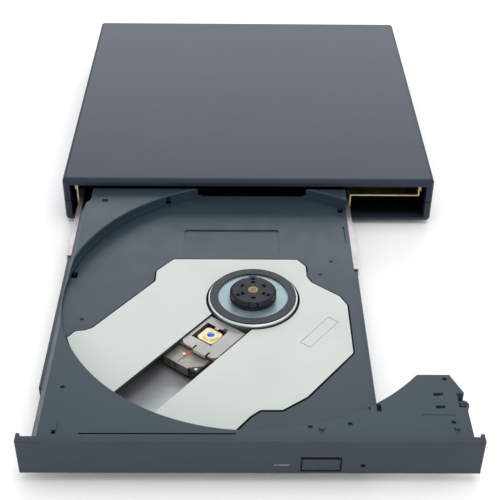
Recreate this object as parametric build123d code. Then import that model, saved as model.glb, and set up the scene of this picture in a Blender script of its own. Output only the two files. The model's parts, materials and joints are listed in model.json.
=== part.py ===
from build123d import *
import math
import os

# External slim disc drive with its tray out.
# Millimetres. X is to the right, Y to the back, Z up. The origin is the middle of the case's
# footprint, on the surface that its feet stand on. A depth is counted backwards from the case's
# front plane. The tray's pieces are drawn where they are with the tray shut, and then drawn out
# by the tray's travel.

# Disc that the drive is made for, and where the tray holds it
disc_radius = 60.0
disc_thickness = 1.2
disc_play = 1.6
disc_recess_radius = disc_radius + disc_play
disc_recess_depth = 4.4
hub_x = 1.2
front_rim = 5.6
hub_depth = disc_recess_radius + front_rim

# Case
case_side_gap = 1.4
case_rear_space = 4.7
case_height = 18.0
case_edge_radius = 1.5
side_wall = 2.6
rear_wall = 2.2
floor_wall = 1.8
roof_wall = 2.6
split_height = 8.65
split_bevel = 0.25
lip_thickness = 0.8
lip_height = 1.8
lip_play = 0.1
lip_inset = 9.0
boss_radius = 2.0
boss_inset = 8.0
pad_size = 9.0
pad_height = 0.4
pad_inset = 24.0
pad_left_inset = 16.0
pad_right_inset = 8.0
foot_height = 1.2
foot_length = 18.0
foot_width = 8.0
foot_sink = 0.5
foot_inset_x = 20.0
foot_inset_y = 11.0

# Screws
case_screw_radius = 0.8
case_screw_head = 1.7
case_screw_head_height = 0.9
case_screw_bite = 3.5
case_screw_room = 0.5
small_screw_radius = 0.7
small_screw_head = 1.4
small_screw_head_height = 0.5
screw_play = 0.15

# Bridge board and sockets behind the drive
board_thickness = 1.0
board_inset = 15.4
board_height = 11.0
bridge_chips = ((18.0, 14.0, 5.5), (32.0, 8.0, 3.5), (-4.0, 10.0, 3.0), (41.0, 4.0, 1.5))
bridge_chip_height = 1.0
board_gap = 2.3
rib_play = 0.1
rib_inset = 4.0
rib_width = 3.0
rib_thickness = 1.1
rib_height = 3.0
connector_width = 50.0
connector_height = 5.0
connector_rise = 2.0
connector_cut_play = 0.3
usb_x = -20.0
usb_width = 7.7
usb_height = 3.9
usb_wall = 0.4
power_x = -36.0
power_radius = 2.9
power_bore = 1.9
power_pin = 0.5
socket_rise = 6.5
socket_play = 0.15
socket_sink = 0.2

# Drive body, carried by the case
drive_height = 12.7
drive_rear_gap = 3.6
drive_setback = 3.6
base_sheet = 0.5
cover_sheet = 0.4
cover_flange = 3.1
cover_screw_near = 40.0
cover_screw_far = 16.0
wall_play = 0.1
shelf_rise = 7.4
shelf_width = 25.3
lock_inset = 11.0
lock_depth = 20.0
lock_radius = 1.2
lock_height = 2.8

# Tray
tray_lift = 0.4
tray_height = 10.8
tray_skin = 1.2
runner_block = 5.4
runner_step = 27.0
runner_step_reach = 0.25
runner_gap_depth = 19.5
runner_gap = 1.0
tray_over_travel = 1.7
recess_rear_cut = 3.3
recess_side_cut = 2.15
recess_ledge_width = 0.4
recess_ledge_rise = 1.7
recess_bevel = 0.3
recess_window_left = -30.1
recess_window_width = 1.8
recess_window_inset = 4.5
recess_window_sill = 0.4
recess_window_head = 0.5
rim_setback = 2.4
ear_gap = 2.0
ear_back = 27.5
ear_slope_depth = 20.3
ear_slope_width = 3.0
ear_thickness = 3.7
rear_notch_width = 1.45
rear_notch_depth = 7.4
rear_notch_slope = 2.0
shield_sheet = 0.4
boss_wall = 1.9
boss_bore = 0.7
peg_radius = 0.8
peg_height = 0.45
rim_pegs = ((19.6, 4.1), (57.0, 4.2))
dimple_radius = 0.7
dimple_depth = 0.3
floor_dimples = ((-54.1, -10.4), (26.6, 20.1), (22.6, 13.0))
rim_hole_depth = 0.6
rim_holes = ((9.6, 5.1), (16.4, 4.5), (27.5, 5.6), (33.1, 11.7), (56.3, 23.5), (56.2, 6.3), (-53.7, 19.8))
rear_dimple_inset = 9.0
rear_dimple_back = 8.1
rear_dimple_radius = 1.2
rear_hole = (32.2, 34.3, 8.7, 5.9)
side_slot = (33.3, 34.0, 27.5, 17.6)
side_slot_depth = 0.6
left_hole = (1.4, 3.6, 47.5, 44.1)
front_slit = (-47.0, -4.0, 1.6, 2.1)
front_slit_depth = 0.7
ear_slots = ((52.2, 55.0, 18.8, 20.1), (52.2, 54.8, 13.9, 15.1))
rear_sill_half_width = 20.0
rear_sill_width = 0.8
rear_sill_height = 1.2
bar_x = -53.8
bar_depth = 2.8
bar_length = 3.4
bar_width = 1.2
bar_height = 0.4
bar_hole_radius = 0.6
panel_offset = 7.2
panel_width = 33.2
panel_length = 13.9
panel_inset = 19.6
panel_depth = 0.45
ear_line_inset = 3.65
ear_line_length = 9.8
ear_line_depth = 11.2
ear_line_width = 0.3
ear_line_sink = 0.12
pickup_mouth_rise = 0.35

# Circuit board under the rear of the tray's floor
tray_board_lift = 0.8
tray_board_thickness = 0.8
tray_board_left_gap = 12.15
tray_board_right_gap = 3.35
tray_board_step = 14.0
tray_board_near = 34.0
tray_board_back_gap = 3.5
tray_board_short = 18.0
chip_height = 1.2
small_chip_height = 1.0
tray_chips = (
    (28.5, 16.0, 16.0, chip_height), (54.5, 14.0, 12.0, chip_height), (10.5, 18.0, 9.0, small_chip_height),
    (73.5, 10.0, 5.0, small_chip_height),
)
board_screw_inset = 2.5
board_screw_near = 31.5
board_screw_back = 4.5
board_screw_middle = 38.5
board_screw_right = 7.35

# Bezel, button and light
bezel_side_gap = 0.3
bezel_height = 12.5
bezel_lift = 0.1
bezel_thickness = 2.2
bezel_edge_radius = 0.5
bezel_return = 1.1
bezel_return_wall = 1.0
clip_width = 6.0
clip_thickness = 1.0
clip_play = 0.2
clip_reach = 3.0
clip_rise = 2.5
clip_places = (-44.0, -12.0)
button_width = 10.6
button_height = 4.2
button_gap = 0.4
button_top_gap = 1.2
button_inset = 44.3
button_rise = 3.6
button_travel = 0.4
flange_width = 13.6
flange_height = 6.4
flange_lift = 0.5
flange_thickness = 0.5
flange_start = 1.2
flange_play = 0.2
stem_width = 4.0
stem_height = 2.0
stem_tip = 4.0
switch_gap = 0.1
switch_depth = 1.6
light_width = 4.4
light_height = 1.2
light_offset = 10.8
light_rise = 3.5
light_play = 0.03
light_sink = 0.2
light_foot_length = 1.6
light_foot_drop = 0.6
release_hole_radius = 0.7
release_hole_offset = 11.5
front_board_left_reach = 15.4
front_board_right_reach = 8.1
front_board_thickness = 0.8

# Rails and guides, measured from a wall of the bay inwards
guide_back = 0.5
guide_lip = 0.6
guide_reach = 1.8
guide_height = 6.2
guide_lift = 1.0
guide_end_gap = 5.1
guide_start = 6.0
rail_sheet = 0.4
rail_reach = 1.65
rail_shortfall = 31.3
rail_play = 0.1
tongue_play = 0.15
tongue_reach = 1.2
left_rail_start = 28.5
right_rail_start = 21.5
right_tongue_start = 17.0

# Disc hub and spindle motor
rotor_radius = 14.4
rotor_rise = 1.0
rotor_plate = 0.8
rotor_skirt = 1.0
rotor_depth = 4.7
rotor_boss = 2.6
ring_outer = 13.9
ring_inner = 11.3
ring_sink = 0.3
ring_height = 0.8
hub_radius = 7.5
hub_height = 2.8
hub_skin = 0.4
hub_bevel = 0.9
claw_width = 2.4
claw_play = 0.1
claw_back = 4.6
claw_nose = 0.5
claw_travel = 0.6
claw_slot_back = 3.2
claw_face_inset = 0.15
claw_slide_play = 0.05
hub_windows = ((3.4, 4.4, 0.7), (5.0, 6.2, 0.75))
hub_pocket_start = 3.6
hub_pocket_end = 4.5
hub_pocket_half_width = 0.8
hub_pocket_depth = 0.8
hub_slit_width = 0.3
hub_slit_length = 1.3
hub_slit_turn = 11.0
nose_start = 0.05
nose_rise = 0.25
nose_land = 0.15
shaft_radius = 1.0
shaft_play = 0.03
shaft_proud = 0.1
shaft_lift = 0.05
sleeve_lift = 0.4
bush_radius = 1.55
bush_height = 0.8
sleeve_radius = 2.2
tube_radius = 4.2
stator_play = 0.6
stator_height = 2.2
stator_lift = 1.4
stator_teeth = 9
magnet_thickness = 1.2
motor_plate = 0.8
motor_plate_radius = 13.0
motor_lift = 0.3
standoff_radius = 1.5
standoff_reach = 18.0
standoff_headings = (95.0, 180.0, 265.0)

# Pale plate with the pickup's slot, and its dampers
plate_thickness = 0.9
plate_proud = 0.2
plate_gap = 0.6
plate_corner = 1.5
rotor_hole_play = 0.8
slot_heading = 232.0
slot_left = 5.8
slot_right = 9.0
slot_start = 9.0
tab_half_width = 3.6
tab_neck_half_width = 2.6
tab_drop = 2.8
damper_reach = 5.2
damper_outer = 3.0
damper_waist = 2.2
damper_bore = 1.5
damper_height = 2.4

# Pickup and its drive, measured outwards from the hub along its path
lens_start = 21.5
lens_stop = 2.5
sled_start = 14.9
sled_step = 29.6
sled_end = 36.0
sled_height = 4.0
sled_front_height = 2.9
sled_play = 0.6
arm_length = 4.0
inner_arm = 16.4
outer_arm = 30.6
fork_start = 22.0
fork_length = 5.0
fork_wall = 0.8
bearing_wall = 0.9
rod_radius = 1.0
rod_play = 0.03
rod_drop = 2.9
main_rod_offset = 10.6
side_rod_offset = 13.6
main_rod_start = 12.6
main_rod_reach = 13.4
side_rod_start = 9.9
side_rod_reach = 5.9
clamp_length = 2.6
clamp_wall = 0.9
rod_arm_drop = 0.6
rod_arm_sheet = 0.8
rod_arm_inset = 3.8
screw_offset = 15.6
screw_radius = 1.2
screw_journal = 0.6
screw_drop = 2.6
screw_play = 0.15
nut_start = 15.6
nut_length = 4.4
bracket_start = 10.6
bracket_inset = 3.6
bracket_sheet = 0.8
stepper_radius = 2.7
stepper_length = 8.5
stepper_drop = 2.2
stepper_rise = 1.9
pickup_sheet = 0.3
apron_sheet = 0.5
apron_right = 3.2
apron_windows = (-4.8, -2.4)
apron_window_width = 1.2
pickup_cover_lift = 0.05
pickup_corner = 2.0
cover_notches = (-0.36, 4.97)
cover_notch_width = 0.6
cover_notch_length = 1.3
cover_tab_play = 0.05
cover_tab_drop = 1.0
window_length = 8.0
window_width = 7.8
lens_radius = 1.5
holder_back = 2.8
holder_left = 3.3
holder_length = 6.0
holder_width = 6.2
holder_height = 2.5

# Latch, solenoid, kicker and roller
pivot_reach = 6.65
pivot_depth = 11.0
pivot_radius = 1.2
pivot_play = 0.04
pivot_slot = (0.1, 1.4, 1.6, 4.6)
lever_window = (-2.4, 1.8, -4.6, 1.3)
lever_thickness = 1.1
lever_lift = 0.5
lever_width = 2.4
hook_gap = 0.2
hook_offset = 2.6
hook_width = 2.0
tail_reach = 11.0
tail_depth = 8.7
tail_width = 2.0
tail_thickness = 1.2
release_turn = -7.0
solenoid_start = 13.5
solenoid_length = 9.0
solenoid_half_width = 2.7
plunger_radius = 1.1
plunger_play = 0.05
plunger_gap = 0.25
plunger_inside = 5.0
plunger_bore = 8.0
roller_inset = 0.8
roller_depth = 16.5
roller_radius = 1.9
roller_pin_radius = 0.6
roller_pin_head = 1.0
roller_pin_head_height = 0.35
roller_play = 0.04
roller_gap = 0.3
roller_notch_inset = 2.2
roller_notch_back = 3.4
roller_ledge = 0.9
roller_ledge_radius = 1.5
kicker_inset = 5.35
kicker_rise = 2.6
kicker_radius = 1.0
kicker_head = 1.4
kicker_block = 12.0
kicker_block_half_width = 3.0
kicker_gap = 0.15
spring_wire = 0.14

# Levels
case_bottom = foot_height
case_top = case_bottom + case_height
case_floor = case_bottom + floor_wall
case_roof = case_top - roof_wall
split_z = case_bottom + split_height
drive_bottom = case_floor + pad_height
drive_top = drive_bottom + drive_height
bay_floor = drive_bottom + base_sheet
bay_roof = drive_top - cover_sheet
shelf_top = drive_bottom + shelf_rise
tray_bottom = bay_floor + tray_lift
tray_top = tray_bottom + tray_height
tray_roof = tray_top - tray_skin
disc_floor = tray_top - disc_recess_depth
recess_ledge = disc_floor + recess_ledge_rise
floor_under = disc_floor - tray_skin
ear_bottom = tray_top - ear_thickness
ledge_top = ear_bottom + roller_ledge
shield_top = tray_bottom + shield_sheet
plate_top = disc_floor + plate_proud
plate_bottom = plate_top - plate_thickness
rotor_top = plate_top + rotor_rise
rotor_bottom = rotor_top - rotor_depth
ring_top = rotor_top - ring_sink + ring_height
hub_top = rotor_top + hub_height
hub_roof = hub_top - hub_skin
disc_top = ring_top + disc_thickness
bezel_bottom = drive_bottom + bezel_lift
bezel_top = bezel_bottom + bezel_height
button_z = drive_bottom + button_rise
flange_z = button_z + flange_lift
light_z = drive_bottom + light_rise
rod_z = plate_bottom - rod_drop
screw_z = plate_bottom - screw_drop
socket_z = case_floor + socket_rise
motor_plate_bottom = shield_top + motor_lift
motor_plate_top = motor_plate_bottom + motor_plate
stator_bottom = motor_plate_top + stator_lift
tube_top = stator_bottom + stator_height + 0.4
tab_bottom = plate_bottom - tab_drop
tab_top = tab_bottom + plate_thickness
damper_bottom = (tab_bottom + tab_top - damper_height) / 2
damper_top = damper_bottom + damper_height

# Widths, from the disc recess outwards to the case
floor_radius = disc_recess_radius - recess_ledge_width
rail_back = guide_back + rail_play
rail_tip = rail_back + rail_reach
tongue_tip = rail_back + rail_sheet + tongue_play
body_offset = tongue_tip + tongue_reach
rim_left = disc_recess_radius - hub_x - recess_side_cut
tray_left = rim_left + rim_setback
bay_left = tray_left + body_offset
wall_x = bay_left + base_sheet
drive_width = 2 * (wall_x + wall_play + cover_sheet)
bezel_width = drive_width - 2 * bezel_side_gap
case_width = drive_width + 2 * (case_side_gap + side_wall)
cavity_x = case_width / 2 - side_wall
boss_x = case_width / 2 - boss_inset
board_half_width = cavity_x - board_inset
bay_right = bay_left - shelf_width
tray_right = bay_right - body_offset
rear_notch_x = rim_left - rear_notch_width
ear_right = bay_left - ear_gap
ear_slope_x = ear_right - ear_slope_width
lock_x = ear_right - lock_inset
roller_x = ear_right - roller_inset
roller_notch_x = ear_right - roller_notch_inset
pivot_x = tray_right + pivot_reach
tail_x = pivot_x - tail_reach
kicker_x = tray_right - kicker_inset
button_x = bezel_width / 2 - button_inset
light_x = button_x - light_offset
release_hole_x = button_x + release_hole_offset
front_board_left = button_x - front_board_left_reach
front_board_right = button_x + front_board_right_reach
panel_x = hub_x - panel_offset
tray_board_left = -tray_left + tray_board_left_gap
tray_board_right = tray_right - tray_board_right_gap

# Depths, from the disc recess backwards to the case's rear
tray_front = bezel_thickness
tray_back = hub_depth + disc_recess_radius - recess_rear_cut
tray_length = tray_back - tray_front
tray_travel = tray_length + tray_over_travel
drive_front = drive_setback
drive_back = tray_back + drive_rear_gap
cavity_back = drive_back + case_rear_space
case_depth = cavity_back + rear_wall
front = -case_depth / 2
board_front = drive_back + board_gap
board_back = board_front + board_thickness
boss_depth = (drive_back + cavity_back) / 2
guide_length = drive_back - guide_end_gap - guide_start
rail_length = tray_length - rail_shortfall
left_end = tray_back - rear_notch_depth - rear_notch_slope

# Distances from the hub along the pickup's path
sled_travel = disc_radius - lens_start - lens_stop
main_rod_end = disc_recess_radius + main_rod_reach
side_rod_end = disc_recess_radius + side_rod_reach
rod_arm_start = disc_recess_radius - rod_arm_inset
bracket_end = disc_recess_radius - bracket_inset

# Heights that follow from the rail
rail_bottom = bay_floor + guide_lift + guide_lip + rail_play
rail_top = bay_floor + guide_lift + guide_height - guide_lip - rail_play
tongue_bottom = rail_bottom + rail_sheet + tongue_play
tongue_top = rail_top - rail_sheet - tongue_play
switch_face = stem_tip + button_travel + switch_gap
switch_back = switch_face + switch_depth
front_board_back = switch_back + front_board_thickness


def block(x0, x1, d0, d1, z0, z1):
    """A box between two depths behind the case's front plane."""
    centre = ((x0 + x1) / 2, front + (d0 + d1) / 2, (z0 + z1) / 2)
    return Pos(*centre) * Box(x1 - x0, d1 - d0, z1 - z0)


def centred(x, d, z, width, length, height):
    """A box about a middle given as x, depth and height."""
    return Pos(x, front + d, z) * Box(width, length, height)


def slab(face, z0, z1):
    """A flat outline made solid between two heights."""
    return Pos(0, 0, z0) * extrude(face, z1 - z0)


def outline(points):
    """A closed face through points given as x and depth."""
    return make_face(Polyline(*[(x, front + d) for x, d in points], close=True))


def post(x, d, radius, z0, z1):
    """An upright round post at a place given as x and depth."""
    return Pos(x, front + d, (z0 + z1) / 2) * Cylinder(radius, z1 - z0)


def ring(x, d, outer, inner, z0, z1):
    """An upright tube at a place given as x and depth."""
    return post(x, d, outer, z0, z1) - post(x, d, inner, z0 - 1, z1 + 1)


def pin(x, z, radius, d0, d1):
    """A round bar that runs from one depth to another."""
    return Pos(x, front + (d0 + d1) / 2, z) * Rot(90, 0, 0) * Cylinder(radius, d1 - d0)


def profile_along(points, d0, d1):
    """A cross-section given as x and z, drawn from one depth to another."""
    face = make_face(Polyline(*[(x, 0, z) for x, z in points], close=True))
    return Pos(0, front + d0, 0) * extrude(face, d1 - d0, dir=(0, 1, 0))


def local_box(x0, x1, y0, y1, z0, z1):
    """A box in the pickup's own frame, whose X runs outwards from the hub."""
    centre = ((x0 + x1) / 2, (y0 + y1) / 2, (z0 + z1) / 2)
    return Pos(*centre) * Box(x1 - x0, y1 - y0, z1 - z0)


def rod_along(x0, x1, y, z, radius):
    """A round bar along the pickup's path."""
    return Pos((x0 + x1) / 2, y, z) * Rot(0, 90, 0) * Cylinder(radius, x1 - x0)


def hub_post(radius, z0, z1):
    """A round post about the hub's axis."""
    return post(hub_x, hub_depth, radius, z0, z1)


def hub_ring(outer, inner, z0, z1):
    """A tube about the hub's axis."""
    return ring(hub_x, hub_depth, outer, inner, z0, z1)


def at_hub(shape, heading=0.0):
    """Place a shape drawn about the origin on the hub's axis, turned to a heading."""
    return Pos(hub_x, front + hub_depth, 0) * Rot(0, 0, heading) * shape


def on_path(shape):
    """Place a shape drawn in the pickup's own frame."""
    return at_hub(shape, slot_heading)


def coil_spring(radius, wire, length, turns):
    """A coil spring along Z from the origin."""
    path = Helix((length - 2 * wire) / turns, length - 2 * wire, radius)
    section = Plane(origin=path @ 0, z_dir=path % 0) * Circle(wire)
    return Pos(0, 0, wire) * sweep(section, path=path, is_frenet=True)


parts = {}
tray_out = Pos(0, -tray_travel, 0)
rail_out = Pos(0, -tray_travel / 2, 0)


def keep(name, shape, place=None):
    """File one piece under its name, in its resting place."""
    parts[name] = shape if place is None else place * shape


def keep_group(name, shapes, place=None):
    """File several separate solids under one name."""
    keep(name, Compound(children=[shape for shape in shapes]), place)


# Case
def case_form():
    """The closed outer form of the case with its soft edges."""
    body = block(-case_width / 2, case_width / 2, 0, case_depth, case_bottom, case_top)
    return fillet(body.edges(), case_edge_radius)


def feet_places():
    """Middle of each foot as x and depth."""
    reach = case_width / 2 - foot_inset_x
    return [(x, d) for x in (-reach, reach) for d in (foot_inset_y, case_depth - foot_inset_y)]


def pad_places():
    """Middle of each pad that the drive stands on, two of them with a screw."""
    left, right = -bay_left + pad_left_inset, bay_right - pad_right_inset
    rows = (drive_front + pad_inset, drive_back - pad_inset)
    return [(x, d) for x in (left, (left + right) / 2, right) for d in (rows[0], case_depth / 2, rows[1])]


def drive_screw_places():
    """The four corner pads take the screws that hold the drive."""
    places = pad_places()
    return [places[0], places[2], places[6], places[8]]


def foot(x, d, z0, z1):
    """One foot, an oval pad."""
    return Pos(x, front + d, z0) * extrude(SlotOverall(foot_length, foot_width), z1 - z0)


def rear_openings():
    """Holes in the rear wall for the two sockets."""
    usb = centred(
        usb_x, case_depth, socket_z,
        usb_width + 2 * socket_play, 2 * rear_wall + 2, usb_height + 2 * socket_play,
    )
    return usb + pin(power_x, socket_z, power_radius + socket_play, cavity_back - 1, case_depth + 1)


def bevel_split(shell):
    """Bevel the outer edges at the split line, which then shows as a fine groove."""
    side = case_width / 2 - 0.01
    back = case_depth / 2 - 0.01
    edges = [
        e for e in shell.edges()
        if abs(e.center().Z - split_z) < 0.01 and (abs(e.center().X) > side or e.center().Y > back)
    ]
    return chamfer(edges, split_bevel)


def screw_well(x, d, radius, depth_up):
    """Clearance for a screw that comes up through the case's floor, and for its head."""
    hole = post(x, d, radius + screw_play, 0, depth_up)
    head = post(x, d, case_screw_head + screw_play, 0, case_bottom + case_screw_head_height)
    return hole + head


def bottom_shell():
    """Lower half of the case with drive pads, board ribs and screw bosses."""
    shell = case_form() & block(-case_width, case_width, -1, case_depth + 1, 0, split_z)
    shell -= block(-cavity_x, cavity_x, -1, cavity_back, case_floor, case_top)
    shell = bevel_split(shell)
    half = pad_size / 2
    for x, d in pad_places():
        shell += block(x - half, x + half, d - half, d + half, case_floor, drive_bottom)
    for x in (-board_half_width + rib_inset, board_half_width - rib_inset):
        for d in (board_front - rib_play - rib_thickness, board_back + rib_play):
            rib = (x - rib_width / 2, x + rib_width / 2, d, d + rib_thickness)
            shell += block(*rib, case_floor, case_floor + rib_height)
    for x in (-boss_x, boss_x):
        shell += post(x, boss_depth, boss_radius, case_floor, split_z)
        shell -= screw_well(x, boss_depth, case_screw_radius, split_z + 1)
    for x, d in drive_screw_places():
        shell -= screw_well(x, d, case_screw_radius, drive_bottom + 1)
    for x, d in feet_places():
        shell -= foot(x, d, 0, case_bottom + foot_sink)
    return shell - rear_openings()


def top_shell():
    """Upper half of the case, open at the front, with a lip that laps inside the lower half."""
    shell = case_form() & block(-case_width, case_width, -1, case_depth + 1, split_z, case_top + 1)
    shell -= block(-cavity_x, cavity_x, -1, cavity_back, 0, case_roof)
    shell = bevel_split(shell)
    lip_end = cavity_back - lip_inset
    for side in (-1, 1):
        inner = side * (cavity_x - lip_thickness)
        for outer, z0, z1 in (
            (side * cavity_x, split_z, split_z + lip_height),
            (side * (cavity_x - lip_play), split_z - lip_height, split_z),
        ):
            shell += block(min(inner, outer), max(inner, outer), lip_inset, lip_end, z0, z1)
        shell += post(side * boss_x, boss_depth, boss_radius, split_z, case_roof)
        hole_top = split_z + case_screw_bite + case_screw_room
        shell -= post(side * boss_x, boss_depth, case_screw_radius, split_z - 1, hole_top)
    return shell - rear_openings()


def screw_up(x, d, radius, head, z_head, head_height, tip):
    """A screw that points up, with a cross in its head."""
    body = post(x, d, head, z_head, z_head + head_height) + post(x, d, radius, z_head + head_height, tip)
    for width, length in ((head * 1.2, head * 0.35), (head * 0.35, head * 1.2)):
        body -= centred(x, d, z_head, width, length, head_height)
    return body


def case_screws():
    """Two long screws that close the case and four short ones that hold the drive."""
    z = case_bottom + 0.1
    height = case_screw_head_height - 0.1
    tips = [(side * boss_x, boss_depth, split_z + case_screw_bite) for side in (-1, 1)]
    tips += [(x, d, bay_floor) for x, d in drive_screw_places()]
    return [screw_up(x, d, case_screw_radius, case_screw_head, z, height, tip) for x, d, tip in tips]


# Bridge board and sockets
def bridge_board():
    """Upright circuit board with its chips on the rear face."""
    board = block(
        -board_half_width, board_half_width, board_front, board_back, case_floor, case_floor + board_height
    )
    d = board_back + bridge_chip_height / 2
    return [board] + [
        centred(x, d, socket_z, width, bridge_chip_height, height) for x, width, height in bridge_chips
    ]


def usb_socket():
    """Socket shell with its tongue."""
    back = case_depth - socket_sink
    middle = (board_back + back) / 2
    shell = centred(usb_x, middle, socket_z, usb_width, back - board_back, usb_height)
    shell = fillet(shell.edges().filter_by(Axis.Y), 0.6)
    shell -= centred(usb_x, middle + 0.8, socket_z, usb_width - 2 * usb_wall, back - board_back,
                     usb_height - 2 * usb_wall)
    return shell + centred(usb_x, middle, socket_z, usb_width - 2.9, back - board_back - 0.4, 0.9)


def power_socket():
    """Round socket with its centre pin."""
    back = case_depth - socket_sink
    barrel = pin(power_x, socket_z, power_radius, board_back, back)
    barrel -= pin(power_x, socket_z, power_bore, board_back + 0.8, back + 1)
    return barrel + pin(power_x, socket_z, power_pin, board_back, back - 0.8)


def connector(d0, d1):
    """One half of the plug between the drive and the bridge board."""
    z0 = drive_bottom + connector_rise
    return block(-connector_width / 2, connector_width / 2, d0, d1, z0, z0 + connector_height)


# Drive chassis
def cover_screw_places():
    """The lid's side screws, as the side they are on and their depth."""
    depths = (drive_front + cover_screw_near, drive_back - cover_screw_far)
    return [(side, d) for side in (-1, 1) for d in depths]


def side_bore(side, d, radius, x0, x1):
    """A bar across a side wall of the drive, at the height of the lid's screws."""
    z = bay_roof - cover_flange / 2
    return Pos(side * (x0 + x1) / 2, front + d, z) * Rot(0, 90, 0) * Cylinder(radius, x1 - x0)


def drive_base():
    """Bent chassis sheet: floor, side walls, the step up to the shelf, rear wall and lock post."""
    s = base_sheet
    web = bay_right
    profile = [
        (-wall_x, drive_bottom), (web + s, drive_bottom), (web + s, shelf_top - s), (wall_x, shelf_top - s),
        (wall_x, bay_roof), (wall_x - s, bay_roof), (wall_x - s, shelf_top), (web, shelf_top),
        (web, bay_floor), (s - wall_x, bay_floor), (s - wall_x, bay_roof), (-wall_x, bay_roof),
    ]
    body = profile_along(profile, drive_front, drive_back)
    rear = drive_back - s
    body += block(-wall_x, web, rear, drive_back, drive_bottom, bay_roof)
    body += block(web, wall_x, rear, drive_back, shelf_top - s, bay_roof)
    z0 = drive_bottom + connector_rise
    play = connector_cut_play
    body -= block(
        -connector_width / 2 - play, connector_width / 2 + play, rear - 1, drive_back + 1,
        z0 - play, z0 + connector_height + play,
    )
    for x, d in drive_screw_places():
        body -= post(x, d, case_screw_radius, drive_bottom - 1, bay_floor + 1)
    for side, d in cover_screw_places():
        body -= side_bore(side, d, small_screw_radius, bay_left - 1, wall_x + 1)
    return body + post(lock_x, lock_depth, lock_radius, shelf_top, shelf_top + lock_height)


def drive_cover():
    """Sheet lid with turned-down side flanges."""
    half = drive_width / 2
    body = block(-half, half, drive_front, drive_back, bay_roof, drive_top)
    for side in (-1, 1):
        x0, x1 = sorted((side * (half - cover_sheet), side * half))
        body += block(x0, x1, drive_front, drive_back, bay_roof - cover_flange, bay_roof)
    for side, d in cover_screw_places():
        body -= side_bore(side, d, small_screw_radius + 0.05, half - cover_sheet - 1, half + 1)
    return body


def cover_screw(side, d):
    """One of the lid's side screws."""
    half = drive_width / 2
    body = side_bore(side, d, small_screw_radius, bay_left - 0.4, half)
    body += side_bore(side, d, small_screw_head - 0.2, half, half + small_screw_head_height - 0.1)
    return body


def channel(wall, inward, offsets, z0, z1, lip, d0, d1):
    """A C-shaped channel that opens away from a wall of the bay."""
    a, b, c = [wall + inward * offset_x for offset_x in offsets]
    points = [
        (a, z0), (c, z0), (c, z0 + lip), (b, z0 + lip),
        (b, z1 - lip), (c, z1 - lip), (c, z1), (a, z1),
    ]
    return profile_along(points, d0, d1)


def guide(wall, inward):
    """Plastic channel fixed to a wall of the bay, in which a rail runs."""
    z0 = bay_floor + guide_lift
    offsets = (0, guide_back, guide_reach)
    end = guide_start + guide_length
    return channel(wall, inward, offsets, z0, z0 + guide_height, guide_lip, guide_start, end)


def rail(wall, inward, start):
    """Steel rail, a C-shaped strip that carries the tray's tongue."""
    offsets = (rail_back, rail_back + rail_sheet, rail_tip)
    return channel(wall, inward, offsets, rail_bottom, rail_top, rail_sheet, start, start + rail_length)


# Pale plate: outline as x and depth from the hub's axis, clockwise from its rear left corner
plate_points = [
    (-26.7, 21.0), (15.2, 21.0), (17.9, 17.2), (17.9, 11.8), (19.4, 8.6), (28.2, 1.4), (30.3, -3.0),
    (30.3, -25.8), (29.3, -27.0), (15.4, -44.6), (8.1, -49.9), (1.7, -49.9), (-1.2, -52.4), (-10.8, -64.8),
    (-71.2, -64.8), (-71.2, -19.0), (-57.2, -19.0), (-55.4, -16.2), (-52.4, -15.8), (-50.2, -14.6),
    (-32.1, 9.1), (-32.1, 14.5),
]
tab_edges = (-1, 2, 8)


def tab_place(edge):
    """Middle of one side of the plate, and the heading that points outwards from it."""
    p, q = plate_points[edge], plate_points[edge + 1]
    heading = math.degrees(math.atan2(q[1] - p[1], q[0] - p[0])) + 90
    return hub_x + (p[0] + q[0]) / 2, hub_depth + (p[1] + q[1]) / 2, heading


def damper_place(edge):
    """Middle of a damper as x and depth, out beyond the plate's edge."""
    x, d, heading = tab_place(edge)
    angle = math.radians(heading)
    return x + damper_reach * math.cos(angle), d + damper_reach * math.sin(angle)


def plate_blank(gap):
    """The plate's outline grown by a gap and cut to the disc recess."""
    face = outline([(hub_x + x, hub_depth + d) for x, d in plate_points])
    if gap:
        face = offset(face, gap, kind=Kind.INTERSECTION)
    face = fillet(face.vertices(), plate_corner)
    return face & (Pos(hub_x, front + hub_depth) * Circle(floor_radius - plate_gap + gap))


# Tray
def tray_screw_places():
    """Screws through the shield into the tray, and whether the boss stands under the high rim."""
    return [
        (-tray_left + 6.6, tray_front + 7.8, True), (-tray_left + 6.9, tray_front + 19.8, True),
        (22.0, tray_back - 7.5, False), (-18.0, tray_front + 5.8, False),
        (-tray_left + rear_dimple_inset, tray_back - rear_dimple_back, True),
    ]


def board_screw_places():
    """Screws that hold the circuit board under the tray's floor."""
    return [
        (tray_board_left + board_screw_inset + 1.0, tray_back - board_screw_near),
        (tray_right - board_screw_right, tray_back - board_screw_near),
        (tray_board_left + board_screw_middle, tray_back - board_screw_back),
    ]


tray_board_bottom = shield_top + tray_board_lift
tray_board_top = tray_board_bottom + tray_board_thickness


def tray_faces(inset):
    """Lower body, upper rim and ear as flat faces, drawn in by an inset."""
    near = tray_front + inset
    back = tray_back - inset
    notch = -rear_notch_x + inset
    step = tray_back - rear_notch_depth - inset
    slope = step - rear_notch_slope
    faces = []
    for left in (-tray_left + inset, -rim_left + inset):
        faces.append(outline([
            (left, near), (tray_right - inset, near), (tray_right - inset, back), (notch, back),
            (notch, step), (left, slope),
        ]))
    faces.append(outline([
        (tray_right - 6, near), (ear_right - inset, near), (ear_right - inset, ear_slope_depth - inset / 2),
        (ear_slope_x - inset / 2, ear_back - inset), (tray_right - 6, ear_back - inset),
    ]))
    return faces


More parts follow.
